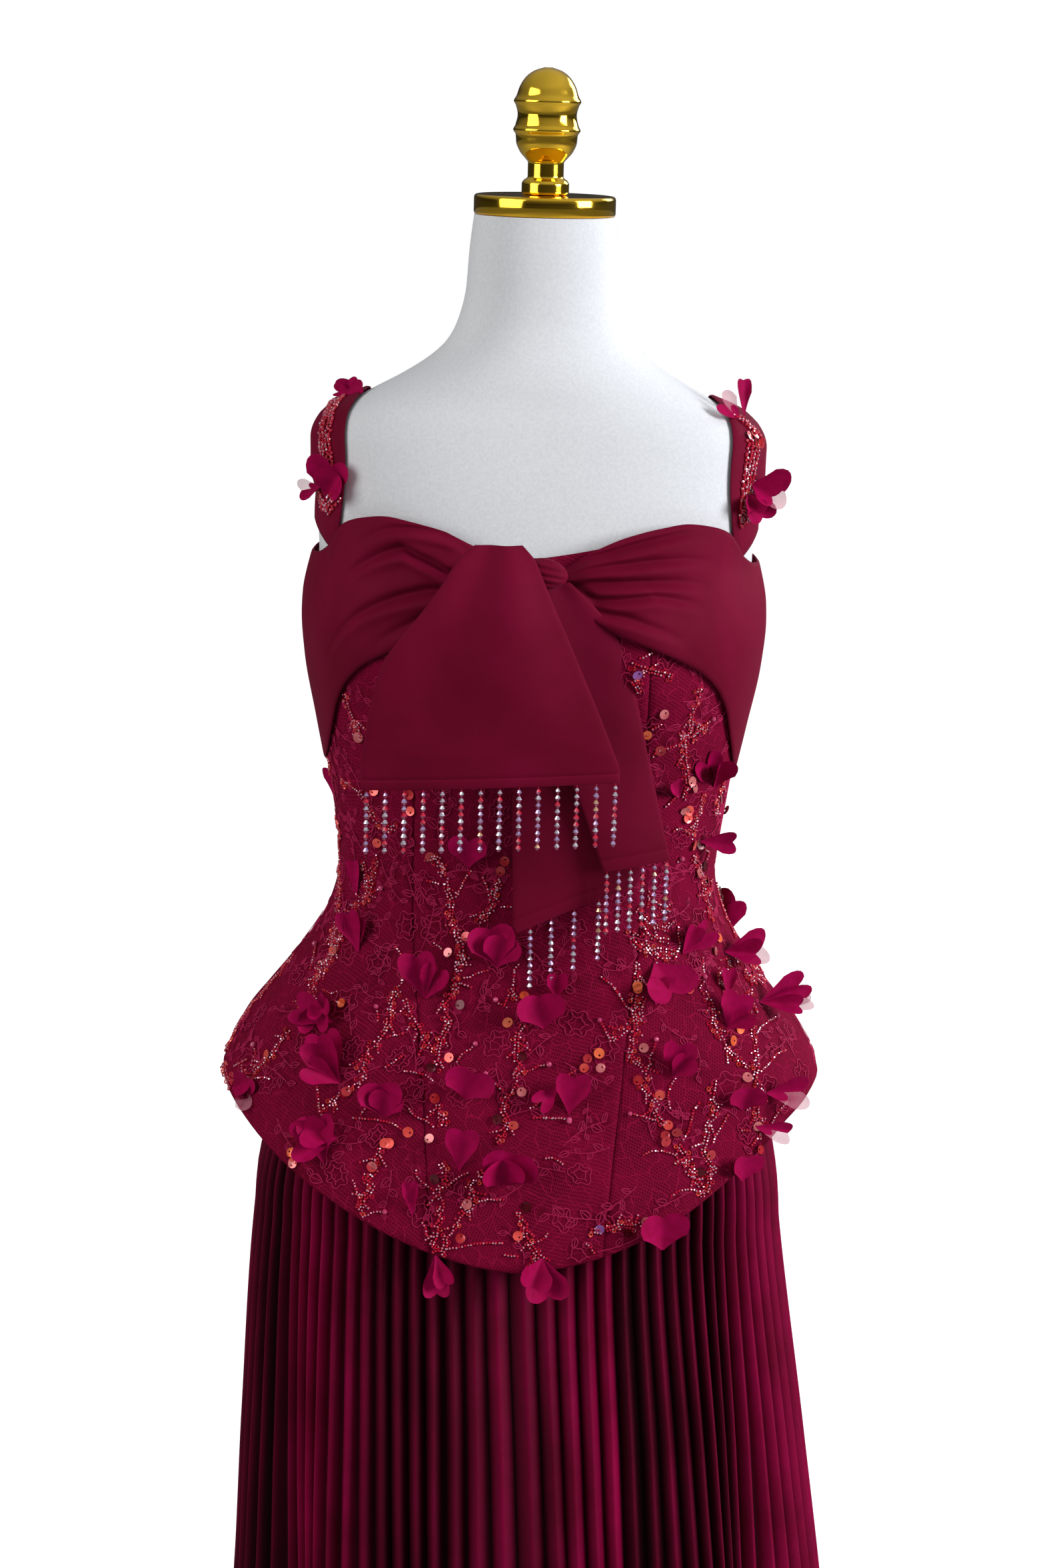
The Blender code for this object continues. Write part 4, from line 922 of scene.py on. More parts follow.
# The pleated skirt, from under the peplum to the floor
skirt = {
    "rows": rowsOf(
        ("z", "left", "right", "front", "back", "pleat", "sway"),
        (12, 96, 99, 106, 98, 15, 24), (330, 61, 63, 76, 70, 12.5, 18), (480, 48, 49.5, 59, 55, 11.5, 14),
        (620, 36.5, 36.5, 42, 40, 10.5, 7), (820, 17.5, 17.5, 14, 14, 8, -2),
        (930, 4.5, 4.5, 4.5, 4.5, 5, 0), (985, 1.8, 1.8, 1.6, 1.6, 3, 0), (1030, 1.1, 1.1, 0.9, 0.9, 1, 0),
        (1060, 0.9, 0.9, 0.9, 0.9, 0.3, 0), (1078, 0.9, 0.9, 0.9, 0.9, 0, 0),
    ),
    "wall": 2.2 * mm, "cloth": 0.7 * mm, "top": 1078 * mm, "finer": 760 * mm, "foot": 12 * mm,
    "levels": (24, 41), "pleats": {"skirt_front": 26, "skirt_right": 17, "skirt_back": 24, "skirt_left": 17},
    "seams": (-56, 54, 128, 236),
    # the broad soft folds: degrees, spread in degrees and depth in mm
    "folds": ((-55, 9, 17), (-18, 8, 4), (20, 8, 5), (53, 9, 20), (100, 10, 12), (150, 10, 14),
              (195, 11, 12), (255, 10, 13)),
    "samples": (0.0, 0.16, 0.5, 0.84, 1.0, 1.16, 1.5, 1.84),
    # painted light and shade of the pleats in broad groups, dark where deep folds lie in shade: degrees round
    # the skirt and how light the painted tone is
    "tones": rowsOf(
        ("degrees", "tone"),
        (-100, 0.5), (-75, 0.34), (-63, 0.15), (-57, 0.85), (-44, 0.95), (-34, 0.62), (-27, 0.34),
        (-13, 0.3), (-8, 0.55), (5, 0.62), (12, 0.7), (18, 1.0), (22, 0.14), (35, 0.36), (49, 0.24),
        (54, 0.9), (64, 1.1), (80, 1.0), (100, 0.6), (130, 0.9), (160, 0.5), (200, 0.9), (235, 0.5),
        (260, 0.5),
    ),
    # far down, each pleat wanders by a little of its own and with its neighbours, in radians
    "loose": 860 * mm, "wander": (0.0022, 0.011),
}


def skirtPoint(angle, z, ridge, depth=1.0):
    drop = ramp(930 - z / mm, 0, 420)
    drawn = 0.0
    for middle, spread, deep in skirt["folds"]:
        away = ((angle - middle * degree + math.pi) % math.tau - math.pi) / degree
        drawn = drawn + deep * mm * bell(away, 0, spread)
    out = roundBlend(skirt["rows"], angle, z) + ridge * read(skirt["rows"], "pleat", z / mm) * mm
    out = out + depth * skirt["wall"] - drawn * drop * (0.5 + 0.5 * drop)
    points = figurePoint(angle, z, out, sectionZ=np.maximum(z, 800 * mm))
    points[..., 0] += read(skirt["rows"], "sway", z / mm) * mm
    return points


# Painted light and shade of each pleat: lighter and darker painted groups, uneven from pleat to pleat,
# painted shade in the valleys and a painted highlight along the crests of the dark groups
def paintedPleatShade(angle, z, profile, pleat, start):
    degrees = (angle / degree + 100) % 360 - 100
    group = read(skirt["tones"], "tone", degrees)
    # the painted shade of the dark groups deepens lower down
    group = group * (1 - 0.35 * (1 - group) * ramp(880 * mm - z, 0, 260 * mm))
    uneven = 0.84 + 0.10 * np.sin(pleat * 2.3 + start) + 0.09 * np.sin(pleat * 5.1)
    # painted shade: darker towards the valleys of each pleat
    body = group * (0.12 + 0.88 * (1 - (1 - profile) ** 2.0))
    # painted highlight: a thin lighter line along each crest in the dark groups
    paintedCrestHighlight = ramp(profile, 0.80, 0.20) ** 1.5 * 0.42 * (1 - group)
    return (body + paintedCrestHighlight) * uneven


def buildSkirt():
    stops = [*skirt["seams"], skirt["seams"][0] + 360]
    upperRows, lowerRows = skirt["levels"]
    upper = np.linspace(skirt["top"], skirt["finer"], upperRows)
    z = np.concatenate([upper, np.linspace(skirt["finer"], skirt["foot"], lowerRows)[1:]])[:, None]
    for (node, pleats), start, end in zip(skirt["pleats"].items(), stops, stops[1:]):
        phases = [2 * k + np.array(skirt["samples"]) for k in range(pleats)]
        phase = np.concatenate([*phases, [2.0 * pleats]])[None]
        rise = 1 - np.abs(phase % 2 - 1)
        profile = 0.8 * (1 - (1 - rise) ** 1.8) + 0.2 * rise
        nearest = 2 * np.floor(phase / 2) + 1
        uneven = 0.85 + 0.15 * np.sin(2.7 * nearest + start)
        low = ramp(skirt["loose"] - z, 0, 400 * mm) * np.minimum(1, np.minimum(phase, 2 * pleats - phase))
        own, shared = skirt["wander"]
        shift = own * np.sin(nearest * 1.7 + z * 5.5) + shared * np.sin(nearest * 0.41 + z * 4.0 + start)
        angle = (start + (end - start) * phase / (2 * pleats)) * degree + low * shift
        points = skirtPoint(angle, z, profile * uneven)
        name = "skirt" + node.split("_")[1].capitalize()
        # the ridge attribute carries the painted light and shade of the pleats
        piece = clothPiece(name, points, "pleated", "satin", node, thick=skirt["cloth"],
                           attributes={"ridge": paintedPleatShade(angle, z, profile, nearest, start)})
        wide, long = flatSize(points)
    print("pleated skirt done")


# Shoulder straps: a satin band over each shoulder
strap = {
    "width": 40 * mm, "lift": 1.6 * mm, "wall": 2.0 * mm, "cloth": 1.1 * mm, "edge": 0.9 * mm,
    "standsOff": 5 * mm, "core": (112 * mm, 4 * mm, 1382 * mm), "turns": (-36, 212, 102),
    "path": rowsOf(("degrees", "outward"), (-24, 41), (0, 40), (40, 38), (90, 33), (140, 25), (180, 15),
                   (204, 10)),
}


def insideFigure(points):
    rows = figure["sections"]
    level = points[..., 2] / mm
    halfWidth = read(rows, "halfWidth", level) * mm
    depth = np.where(points[..., 1] < 0, read(rows, "front", level), read(rows, "back", level)) * mm
    power = read(rows, "squareness", level)
    return np.abs(points[..., 0] / halfWidth) ** power + np.abs(points[..., 1] / depth) ** power < 1


def onShoulder(directions):
    core = np.array(strap["core"])
    low, high = np.zeros(directions.shape[:-1]), np.full(directions.shape[:-1], 0.25)
    reach = halved(lambda far: insideFigure(core + directions * far[..., None]), low, high, 26)
    return core + directions * reach[..., None]


def strapCentre(turn):
    outward = read(strap["path"], "outward", turn) * degree
    a = turn * degree
    flat = np.cos(outward)
    return onShoulder(np.stack([np.sin(outward), -flat * np.cos(a), flat * np.sin(a)], -1))


# A place on the strap: turn 0 is the front, 90 the top; share runs across it from -0.5 to 0.5
def onStrap(turn, share, lift, side):
    turn, share = np.broadcast_arrays(np.asarray(turn, float), np.asarray(share, float))
    core = np.array(strap["core"])
    centre = strapCentre(turn)
    tangent = unit(strapCentre(turn + 2) - strapCentre(turn - 2))
    rough = unit(centre - core)
    across = unit(np.cross(tangent, rough))
    spot = onShoulder(unit(centre + across * (share * strap["width"])[..., None] - core))
    ahead = onShoulder(unit(spot + tangent * 2 * mm - core))
    beside = onShoulder(unit(spot + across * 2 * mm - core))
    normal = unit(np.cross(ahead - spot, beside - spot))
    normal = np.where((normal * rough).sum(-1, keepdims=True) < 0, -normal, normal)
    free = ramp(turn, -2, 18) * ramp(170 - turn, 0, 30)
    lift = lift + strap["standsOff"] * free * (0.5 + share)
    point = spot + normal * lift[..., None]
    mirror = np.array([side, 1, 1])
    return point * mirror, tangent * mirror, across * mirror, normal * mirror


def buildStraps():
    for name, node, side in (("strapRight", "strap_right", 1), ("strapLeft", "strap_left", -1)):
        turns = np.linspace(*strap["turns"])
        shares = np.concatenate([[-0.5, -0.49], np.linspace(-0.46, 0.46, 9), [0.49, 0.5]])
        edge = bell(0.5 - np.abs(shares), 0, 0.02)
        lift = strap["lift"] + strap["wall"] - strap["edge"] * edge + 0 * turns[:, None]
        points = onStrap(turns[:, None], shares[None], lift, side)[0]
        if side > 0:
            points = points[:, ::-1]
        piece = clothPiece(name, points, "satin", "satin", node, thick=strap["cloth"])
        wide, long = flatSize(points)
    print("straps done")


# Chiffon petals, each a folded heart sewn on by its point
petals = {
    "columns": 16, "rows": 8, "chance": 5, "stitch": 0.6 * mm, "lean": (0.10, 0.30), "curl": (0.03, 0.16),
    "fold": (0.22, 0.56), "notch": (0.10, 0.30), "grow": 1.14, "doubled": 0.45, "doubledFrom": 22 * mm,
    "strapFace": (0, -1.3, 0.2), "strapLift": 3.8 * mm, "sides": (50, 100), "sideFace": (0, -0.9, 0.1),
    # degrees round the bodice, height, length, the way it points (0 up, 90 to rising angles) and width
    "places": (
        (-50, 973, 31, 283, 26), (-42, 929, 38, 322, 28), (-29, 906, 29, 347, 33), (-39, 889, 34, 263, 31),
        (-11, 922, 27, 12, 36), (-11, 869, 33, 3, 25), (-2, 859, 30, 11, 40), (4, 977, 30, 351, 36),
        (7, 935, 22, 222, 17), (-20, 833, 28, 355, 12), (9, 913, 31, 12, 26), (35, 941, 28, 8, 26),
        (55, 974, 28, 34, 25), (72, 986, 39, 107, 20), (35, 994, 22, 3, 16), (52, 913, 22, 2, 28),
        (59, 924, 31, 98, 26), (50, 857, 22, 6, 26), (29, 809, 31, 0, 37), (55, 899, 27, 105, 17),
        (-60, 1062, 28, 343, 12), (-51, 1024, 31, 337, 19), (-15, 1099, 30, 4, 29), (-6, 1023, 33, 355, 36),
        (-25, 996, 37, 356, 29), (-86, 1134, 22, 6, 12), (64, 1156, 34, 326, 25), (45, 1154, 22, 329, 12),
        (59, 1116, 26, 90, 17), (48, 1030, 29, 52, 20), (68, 1026, 33, 97, 28), (37, 1028, 33, 159, 40),
        (60, 994, 22, 15, 12), (73, 986, 36, 102, 26), (7, 999, 22, 358, 16), (-52, 1023, 27, 355, 17),
        (-85, 950, 42, 53, 16), (-59, 992, 33, 167, 25), (-43, 930, 38, 333, 28), (-72, 908, 29, 87, 25),
        (-41, 869, 36, 350, 29), (112, 1010, 36, 20, 30), (136, 962, 38, 340, 34), (150, 872, 34, 160, 30),
        (163, 986, 38, 300, 32), (168, 1128, 32, 20, 28), (172, 902, 38, 40, 34), (196, 946, 38, 30, 34),
        (206, 868, 34, 200, 30), (-15, 806, 30, 180, 20), (4, 806, 32, 172, 32), (224, 992, 38, 20, 32),
        (244, 1056, 32, 350, 28), (118, 950, 32, 60, 28), (128, 1060, 30, 10, 26), (184, 836, 34, 190, 32),
        (152, 1050, 30, 200, 26), (212, 1080, 32, 150, 28), (236, 940, 34, 320, 30),
    ),
    # the rows of the table above whose lobes are pale at the ends
    "pale": (13, 16, 19, 25, 30, 33, 39, 42, 47),
    # side of the body, turn along the strap, share across it, length, direction, width and 1 where it is pale
    "strapPlaces": (
        (1, 60, -0.15, 30, -10, 13, 0), (1, 56, -0.25, 26, -62, 24, 1), (1, 14, -0.05, 30, 105, 34, 1),
        (1, 8, -0.1, 27, 165, 26, 0), (-1, 84, -0.1, 19, 82, 16, 0), (-1, 86, -0.3, 16, -84, 14, 0),
        (-1, 88, -0.2, 13, 4, 22, 0), (-1, -4, -0.1, 34, 8, 40, 0), (-1, 3, 0.1, 18, 250, 18, 1),
    ),
}


# One petal along +y from its point: two lobes with a soft notch, folded up the middle, curled at the end
def petalSheet(length, width, fold, curl, chance):
    s = np.linspace(-1, 1, petals["columns"] + 1)[None]
    t = np.linspace(0.04, 1, petals["rows"] + 1)[:, None]
    away = np.abs(s)
    notch = chance.uniform(*petals["notch"]) * min(1.0, max(0.0, width / length - 0.35) / 0.35)
    lobe = 1 - notch * np.clip(1 - away / 0.42, 0, 1) ** 1.4 - 0.34 * ramp(away, 0.52, 0.48) ** 2.2
    opening = math.asin(min(0.94, width / (1.56 * length)))
    turn = s * opening * (0.84 + 0.16 * t)
    r = t * lobe * length
    x, y = r * np.sin(turn), r * np.cos(turn)
    sideways = np.sqrt(x ** 2 + (0.05 * length) ** 2) - 0.05 * length
    ripple = 0.018 * length * np.sin(s * 5 + chance.uniform(0, 6)) * t ** 2
    z = sideways * math.tan(fold) + curl * length * t ** 2 + ripple
    return np.stack([x * math.cos(fold * 0.55), y, z], -1)


# A petal sewn on at a spot, pointing a turn away from straight ahead; wide ones may be doubled
def petalAt(groups, spot, across, along, normal, turn, length, width, pale, chance):
    side = across * math.cos(turn) - along * math.sin(turn)
    ahead = along * math.cos(turn) + across * math.sin(turn)
    doubled = width > petals["doubledFrom"] and chance.random() < petals["doubled"]
    for layer in range(2 if doubled else 1):
        size = 1 - 0.2 * layer
        fold = chance.uniform(*petals["fold"]) + 0.28 * layer
        flat = petalSheet(length * size, width * size, fold, chance.uniform(*petals["curl"]), chance)
        spin = chance.uniform(-0.12, 0.12) + 0.42 * layer * (1 if chance.random() > 0.5 else -1)
        lean = chance.uniform(*petals["lean"]) + 0.16 * layer
        c, s = math.cos(spin), math.sin(spin)
        right, forward = side * c - ahead * s, ahead * c + side * s
        up = normal * math.cos(lean) - forward * math.sin(lean)
        forward = forward * math.cos(lean) + normal * math.sin(lean)
        points = spot + normal * petals["stitch"] + flat @ np.stack([right, forward, up])
        rows, columns = points.shape[:2]
        ids = np.arange(rows * columns).reshape(rows, columns)
        faces = np.stack([ids[:-1, :-1], ids[:-1, 1:], ids[1:, 1:], ids[1:, :-1]], -1)
        thin = np.zeros(faces.shape[:2], int)
        if pale and layer == 0:
            thin[rows // 2:, columns // 2:] = 1
        groups.append((points.reshape(-1, 3), faces.reshape(-1, 4).tolist(), thin.reshape(-1)))


def buildPetals():
    chance = np.random.default_rng(petals["chance"])
    groups = []
    nearest, farthest = petals["sides"]
    for row, (degrees, level, length, points, width) in enumerate(petals["places"]):
        place = np.array([degrees * degree]), np.array([level * mm])
        spot, right, above, normal = (v[0] for v in onBodice(*place)[:4])
        if nearest < abs(degrees) < farthest:  # petals at the sides stand up and turn to the front
            normal = unit(normal + petals["sideFace"])
            right = unit(np.cross(above, normal))
            above = np.cross(normal, right)
        petalAt(groups, spot, right, above, normal, points * degree, length * petals["grow"] * mm,
                width * petals["grow"] * mm, row in petals["pale"], chance)
    for side, turn, share, length, points, width, pale in petals["strapPlaces"]:
        spot, ahead, _, normal = onStrap(turn, share, petals["strapLift"], side)
        normal = unit(normal + petals["strapFace"])
        across = unit(np.cross(ahead, normal))
        ahead = np.cross(normal, across)
        petalAt(groups, spot, across, ahead, normal, points * degree, length * mm, width * mm, pale, chance)
    piece = joined("chiffonPetals", groups, ["chiffon", "paleChiffon"], "lace")
    print("petals done:", len(groups))


# Beadwork on the lace: stems are double rows of silver-lined seed beads with rings, twigs are single rows
beads = {
    "pitch": 2.4 * mm, "seed": 2.1 * mm, "ring": 3.8 * mm, "pearl": 4.3 * mm, "sequin": 7.8 * mm,
    "tilt": 0.35, "sequinTilt": 0.42, "sequinLift": 1.9 * mm, "rowGap": 1.25 * mm, "gaps": 0.28,
    "ringShare": 0.46, "ringGap": (2.2, 3.8), "sprigShare": 0.20, "sprigBeads": (2, 5), "bare": 0.46,
    "edge": 86, "margin": 3 * mm, "backChance": 0.3, "backShare": 0.96, "backDrop": 9 * mm,
    # each stem: degrees, height, degrees, height and so on
    "stems": (
        (-33, 1002, -35, 994, -35, 986, -34, 977, -35, 968, -36, 961, -38, 957, -38, 950, -38, 941, -36,
         936, -39, 930, -40, 924, -42, 921, -43, 914, -45, 910, -45, 907),
        (-31, 996, -29, 985, -27, 979, -25, 973, -23, 966, -21, 960),
        (-17, 1006, -18, 1001, -20, 993, -19, 987, -17, 981, -18, 973, -19, 966, -19, 960, -19, 951, -17,
        945), (-17, 919, -17, 911, -15, 908, -15, 902),
        (-15, 875, -14, 869, -14, 863, -13, 859, -15, 857, -15, 851, -14, 845, -14, 841, -15, 836, -14,
        832, -15, 827, -15, 819, -16, 812, -15, 807), (-3, 1008, -2, 1003, -1, 1000),
        (0, 981, -1, 973, -1, 969, -1, 961, -1, 953, 0, 947, -1, 943, -1, 940, -1, 937, -2, 929, -3, 920,
         -3, 915, -2, 909, -2, 905, -3, 899, -4, 892),
        (-7, 871, -6, 865, -8, 864, -9, 857, -8, 852, -8, 843, -10, 838, -11, 832, -11, 828, -12, 824, -13,
        819, -13, 811, -14, 805), (0, 841, 0, 835, 1, 831, 1, 827, 1, 821, 2, 814, 3, 808, 3, 801),
        (-29, 887, -29, 879, -30, 875, -29, 867, -30, 863, -31, 859, -29, 856, -30, 849, -31, 846, -31,
         839, -32, 833, -30, 830),
        (29, 1004, 28, 996, 28, 990, 28, 983, 28, 978, 26, 971, 26, 966, 25, 961, 26, 954, 28, 950, 28,
         943, 26, 938, 27, 934, 29, 928, 30, 922, 29, 918, 30, 910, 32, 905),
        (34, 891, 35, 885, 36, 880, 34, 877, 36, 873, 38, 868, 36, 866, 38, 861, 39, 857, 39, 852, 39, 847),
        (32, 1002, 30, 994, 30, 988, 28, 983), (25, 983, 25, 978, 23, 974, 22, 971, 20, 970),
        (52, 1002, 53, 994, 53, 986, 51, 978, 52, 972, 52, 965, 52, 960, 54, 954, 55, 948, 56, 946),
        (72, 996, 69, 991, 66, 984, 65, 977, 63, 970, 62, 966, 61, 957, 60, 951, 59, 944, 57, 937, 58, 931,
         57, 925, 56, 913, 56, 907, 58, 898, 56, 892, 56, 888),
        (46, 939, 45, 932, 44, 924, 45, 918, 44, 911, 42, 905, 42, 898, 41, 891, 40, 884, 41, 877, 42, 873,
         43, 869, 41, 867, 41, 859, 40, 853),
        (13, 827, 15, 826, 18, 829, 19, 831, 22, 829, 24, 831, 25, 827, 27, 826),
        (-24, 1108, -25, 1102, -22, 1100, -24, 1095, -22, 1091, -22, 1082, -21, 1077, -20, 1074, -20, 1068,
         -20, 1061, -21, 1053, -18, 1052, -18, 1046, -16, 1039, -16, 1034, -17, 1030, -14, 1030, -18, 1026,
         -16, 1019, -18, 1014, -16, 1009, -18, 1002),
        (-7, 1093, -6, 1086, -7, 1087, -8, 1081, -8, 1076, -9, 1070, -8, 1067, -12, 1063, -11, 1059, -9,
         1061),
        (-85, 1115, -76, 1110, -90, 1092, -85, 1086, -84, 1076, -77, 1070, -75, 1064, -72, 1056, -73, 1050,
         -67, 1046, -67, 1034, -64, 1026, -63, 1016, -66, 1005),
        (-57, 1094, -56, 1086, -55, 1078, -55, 1072, -53, 1067, -57, 1062, -59, 1054, -61, 1047, -62, 1040,
         -62, 1030, -62, 1020, -62, 1010, -64, 1002, -64, 992),
        (-50, 1102, -49, 1095, -53, 1087, -52, 1078, -54, 1068),
        (-67, 1156, -59, 1152, -54, 1148, -50, 1138, -48, 1130, -43, 1126, -38, 1127),
        (-51, 1210, -51, 1200, -51, 1194), (-81, 1176, -84, 1168, -79, 1164, -86, 1154),
        (30, 1052, 30, 1044, 32, 1038, 35, 1035, 39, 1036, 43, 1034, 46, 1032),
        (34, 1044, 35, 1038, 37, 1032, 41, 1030, 45, 1030), (34, 1055, 35, 1048, 39, 1044, 44, 1041),
        (32, 1068, 36, 1059, 40, 1053, 44, 1050), (36, 1082, 39, 1072, 43, 1066, 46, 1062),
        (30, 1028, 31, 1024, 30, 1018, 30, 1014), (43, 1196, 44, 1186, 46, 1176, 47, 1167, 49, 1162),
        (57, 1156, 56, 1148, 56, 1140, 55, 1133, 55, 1128, 53, 1124, 55, 1120),
        (58, 1108, 57, 1102, 62, 1096, 64, 1088, 66, 1084, 68, 1076, 67, 1070, 68, 1062, 70, 1058, 68,
        1052, 68, 1048), (75, 1081, 73, 1074, 69, 1068),
        (70, 1172, 71, 1162, 71, 1154, 69, 1148, 68, 1140, 69, 1134),
        (89, 1072, 90, 1064, 91, 1058, 93, 1050, 92, 1044, 94, 1034, 94, 1028),
        (73, 1020, 74, 1014, 74, 1006, 75, 1000, 81, 1000, 95, 995), (95, 1010, 94, 1005, 95, 998),
        (83, 1018, 83, 1010, 82, 1004), (69, 1022, 67, 1016, 65, 1011, 64, 1006),
        (40, 1211, 42, 1204, 46, 1204, 48, 1208, 52, 1212), (61, 1016, 62, 1011, 59, 1006, 60, 1002),
        (-70, 1040, -68, 1034, -67, 1028, -62, 1029), (-61, 1044, -62, 1038, -62, 1030),
        (-62, 1003, -63, 998, -63, 992, -61, 988, -62, 984, -63, 981, -62, 976, -62, 972, -62, 968),
        (-62, 962, -62, 957, -63, 952, -63, 946, -64, 940, -65, 936, -66, 931, -67, 926, -67, 922, -71,
         920, -72, 915, -76, 914),
        (-87, 1004, -87, 995, -86, 986, -87, 974, -89, 962, -93, 948, -92, 939, -92, 928, -93, 920, -85,
        920, -80, 918, -76, 913, -72, 909), (-50, 897, -49, 890, -49, 885),
        (44, 1246, 44, 1234, 43, 1224, 44, 1212, 41, 1206, 44, 1190), (22, 1267, 27, 1262, 34, 1257),
        (23, 1255, 25, 1245), (-55, 1230, -54, 1218, -52, 1206, -50, 1194),
    ),
    # each twig: 1 where it starts with a pearl, then degrees, height and so on
    "twigs": (
        (1, -39, 988, -38, 983, -37, 976), (0, 5, 825, 4, 820, 2, 816), (0, -29, 970, -32, 968, -34, 966),
        (0, -28, 954, -30, 948, -32, 944), (0, -27, 942, -24, 942, -21, 940, -19, 936),
        (1, -10, 965, -11, 961, -13, 957, -14, 951), (1, -6, 999, -5, 996, -3, 993),
        (1, 5, 951, 3, 950, 2, 948, 0, 944), (1, -7, 943, -6, 939, -4, 933, -3, 930),
        (1, 9, 909, 8, 911, 5, 911, 2, 911), (0, 3, 923, 2, 919, 1, 917),
        (0, -48, 926, -47, 920, -46, 913, -45, 907), (0, -34, 915, -35, 908),
        (0, -50, 896, -49, 886, -47, 887), (0, -24, 915, -22, 909, -19, 906, -17, 901),
        (0, -37, 905, -35, 905, -31, 905, -27, 903, -24, 898, -23, 897),
        (0, -20, 870, -20, 865, -18, 859, -16, 855, -16, 850), (0, -9, 869, -11, 865, -13, 859),
        (0, 4, 881, 6, 881, 8, 876), (0, -2, 849, -5, 849, -7, 847),
        (0, -34, 860, -33, 855, -32, 847, -32, 840), (1, -26, 837, -28, 837, -29, 835, -31, 832),
        (0, -18, 831, -17, 825, -17, 820, -15, 819),
        (0, -2, 816, -4, 816, -7, 815, -9, 813, -11, 811, -13, 810), (0, -2, 807, 0, 806, 0, 804),
        (1, 18, 985, 19, 979, 20, 972, 22, 971), (0, 23, 1010, 24, 1004, 25, 1000, 26, 995, 28, 991),
        (1, 33, 970, 32, 964, 30, 957, 30, 951, 28, 949), (0, 36, 942, 34, 935, 33, 929, 33, 918),
        (1, 23, 915, 26, 913, 28, 911, 30, 909), (0, 41, 923, 39, 917, 38, 908, 37, 900, 35, 893),
        (0, 48, 912, 46, 903, 44, 896, 43, 890), (0, 25, 883, 27, 886, 30, 886, 33, 883, 34, 877),
        (0, 31, 851, 33, 855, 35, 856, 37, 855, 39, 853), (1, 76, 972, 71, 972, 66, 970, 63, 966),
        (0, 71, 950, 67, 950, 63, 945, 59, 940), (0, 66, 914, 63, 908, 61, 901, 59, 891),
        (0, 51, 898, 54, 896), (0, 11, 947, 9, 943, 8, 937), (1, 9, 910, 7, 911, 4, 911),
        (0, 12, 817, 13, 815, 14, 809), (0, 47, 861, 45, 857, 44, 855),
        (0, -29, 1087, -25, 1086, -24, 1085), (0, -14, 1099, -16, 1091, -18, 1080, -19, 1075),
        (0, -11, 1094, -10, 1089, -9, 1079), (0, -6, 1070, -3, 1071),
        (0, -38, 1034, -36, 1030, -34, 1026, -34, 1018, -33, 1012, -33, 1006, -35, 1002, -35, 995),
        (0, -25, 1040, -22, 1035), (0, -8, 1021, -11, 1019, -13, 1015, -15, 1014),
        (0, -1, 1027, -2, 1022, -2, 1012, -2, 1001), (1, -47, 1076, -52, 1070, -55, 1064),
        (0, 49, 1054, 48, 1046, 48, 1038, 45, 1029), (0, 19, 1018, 22, 1012, 24, 1005, 25, 1001),
        (0, 30, 1214, 33, 1218), (0, 41, 1200, 38, 1198, 33, 1196, 32, 1191),
        (0, 44, 1158, 42, 1154, 39, 1148), (0, 44, 1128, 47, 1131, 50, 1128, 53, 1124),
        (0, 64, 1108, 69, 1104, 67, 1098), (0, 61, 1072, 65, 1070, 72, 1072),
        (1, 54, 1012, 55, 1020, 56, 1026), (0, 54, 1012, 53, 1008, 51, 1006, 51, 1001),
        (1, 50, 1105, 48, 1102), (1, -74, 1020, -71, 1014, -69, 1008, -68, 1004),
        (0, -66, 1012, -63, 1010, -60, 1012), (0, -59, 994, -55, 992, -53, 995), (0, -53, 988, -51, 987),
        (1, -71, 943, -69, 938, -69, 934), (0, -71, 932, -74, 925, -75, 922),
        (0, -61, 924, -63, 924, -66, 921, -68, 916), (0, -48, 926, -47, 919, -46, 912, -45, 907, -43, 901),
        (0, -47, 889, -47, 892), (0, 24, 1271, 28, 1276), (1, 53, 1218, 45, 1206),
        (0, 0, 1352, 3, 1350, 6, 1353, 9, 1355),
    ),
    "sequins": {
        "orange": (
            -50, 987, -3, 982, -47, 877, 30, 1008, 17, 960, 59, 972, 55, 965, 0, 1003, 29, 1210,
            100, 990, 68, 1036, 30, 1010, -50, 987, -49, 875,
        ),
        "coral": (
            0, 1003, -16, 954, -1, 905, -27, 888, -23, 897, 0, 822, 47, 1005, 13, 949, 31, 929, 32, 906,
            -33, 1142, -48, 1112, -47, 1154, 50, 1144, 50, 1138, 56, 1114, 78, 1018, -65, 940,
            -62, 1022, -48, 868, -47, 877, -28, 888,
        ),
        "dark": (
            -15, 994, 0, 957, -20, 946, -4, 909, 4, 918, -16, 863, 1, 844, 39, 869, 21, 825, 60, 1114,
            90, 1062, 66, 1094,
        ),
        "red": (
            -18, 923, -10, 819, 14, 956, 26, 940, 31, 898, 34, 900, 31, 893, 42, 881, 56, 880, 55, 870,
            -33, 1155, -27, 1107, -5, 1107, -6, 1099, -15, 1046, 34, 1196, -40, 924, -30, 870,
        ),
        "rose": (
            0, 930, -18, 893, -30, 870, -9, 845, -48, 867, 29, 964, 17, 949, 55, 938, 56, 899, 25, 833,
            -51, 1196, -20, 1033, -62, 1021, 49, 1168, 51, 1162, 48, 1144, 85, 1132, 71, 1146, 63, 1028,
            70, 1080, 62, 1090, 33, 1227,
        ),
        "violet": (15, 828, 24, 1259),
    },
    # side of the body, then turn along the strap and share across it
    "strapStems": (
        (-1, 86, 0.0, 66, -0.06, 40, -0.10, 18, -0.12), (1, 40, -0.08, 22, -0.12, 4, -0.16, -14, -0.22),
        (1, 58, -0.35, 53, -0.1, 49, 0.12), (-1, -2, -0.35, -9, -0.2, -14, -0.1),
        (-1, -4, 0.2, -10, 0.0, -14, -0.1),
    ),
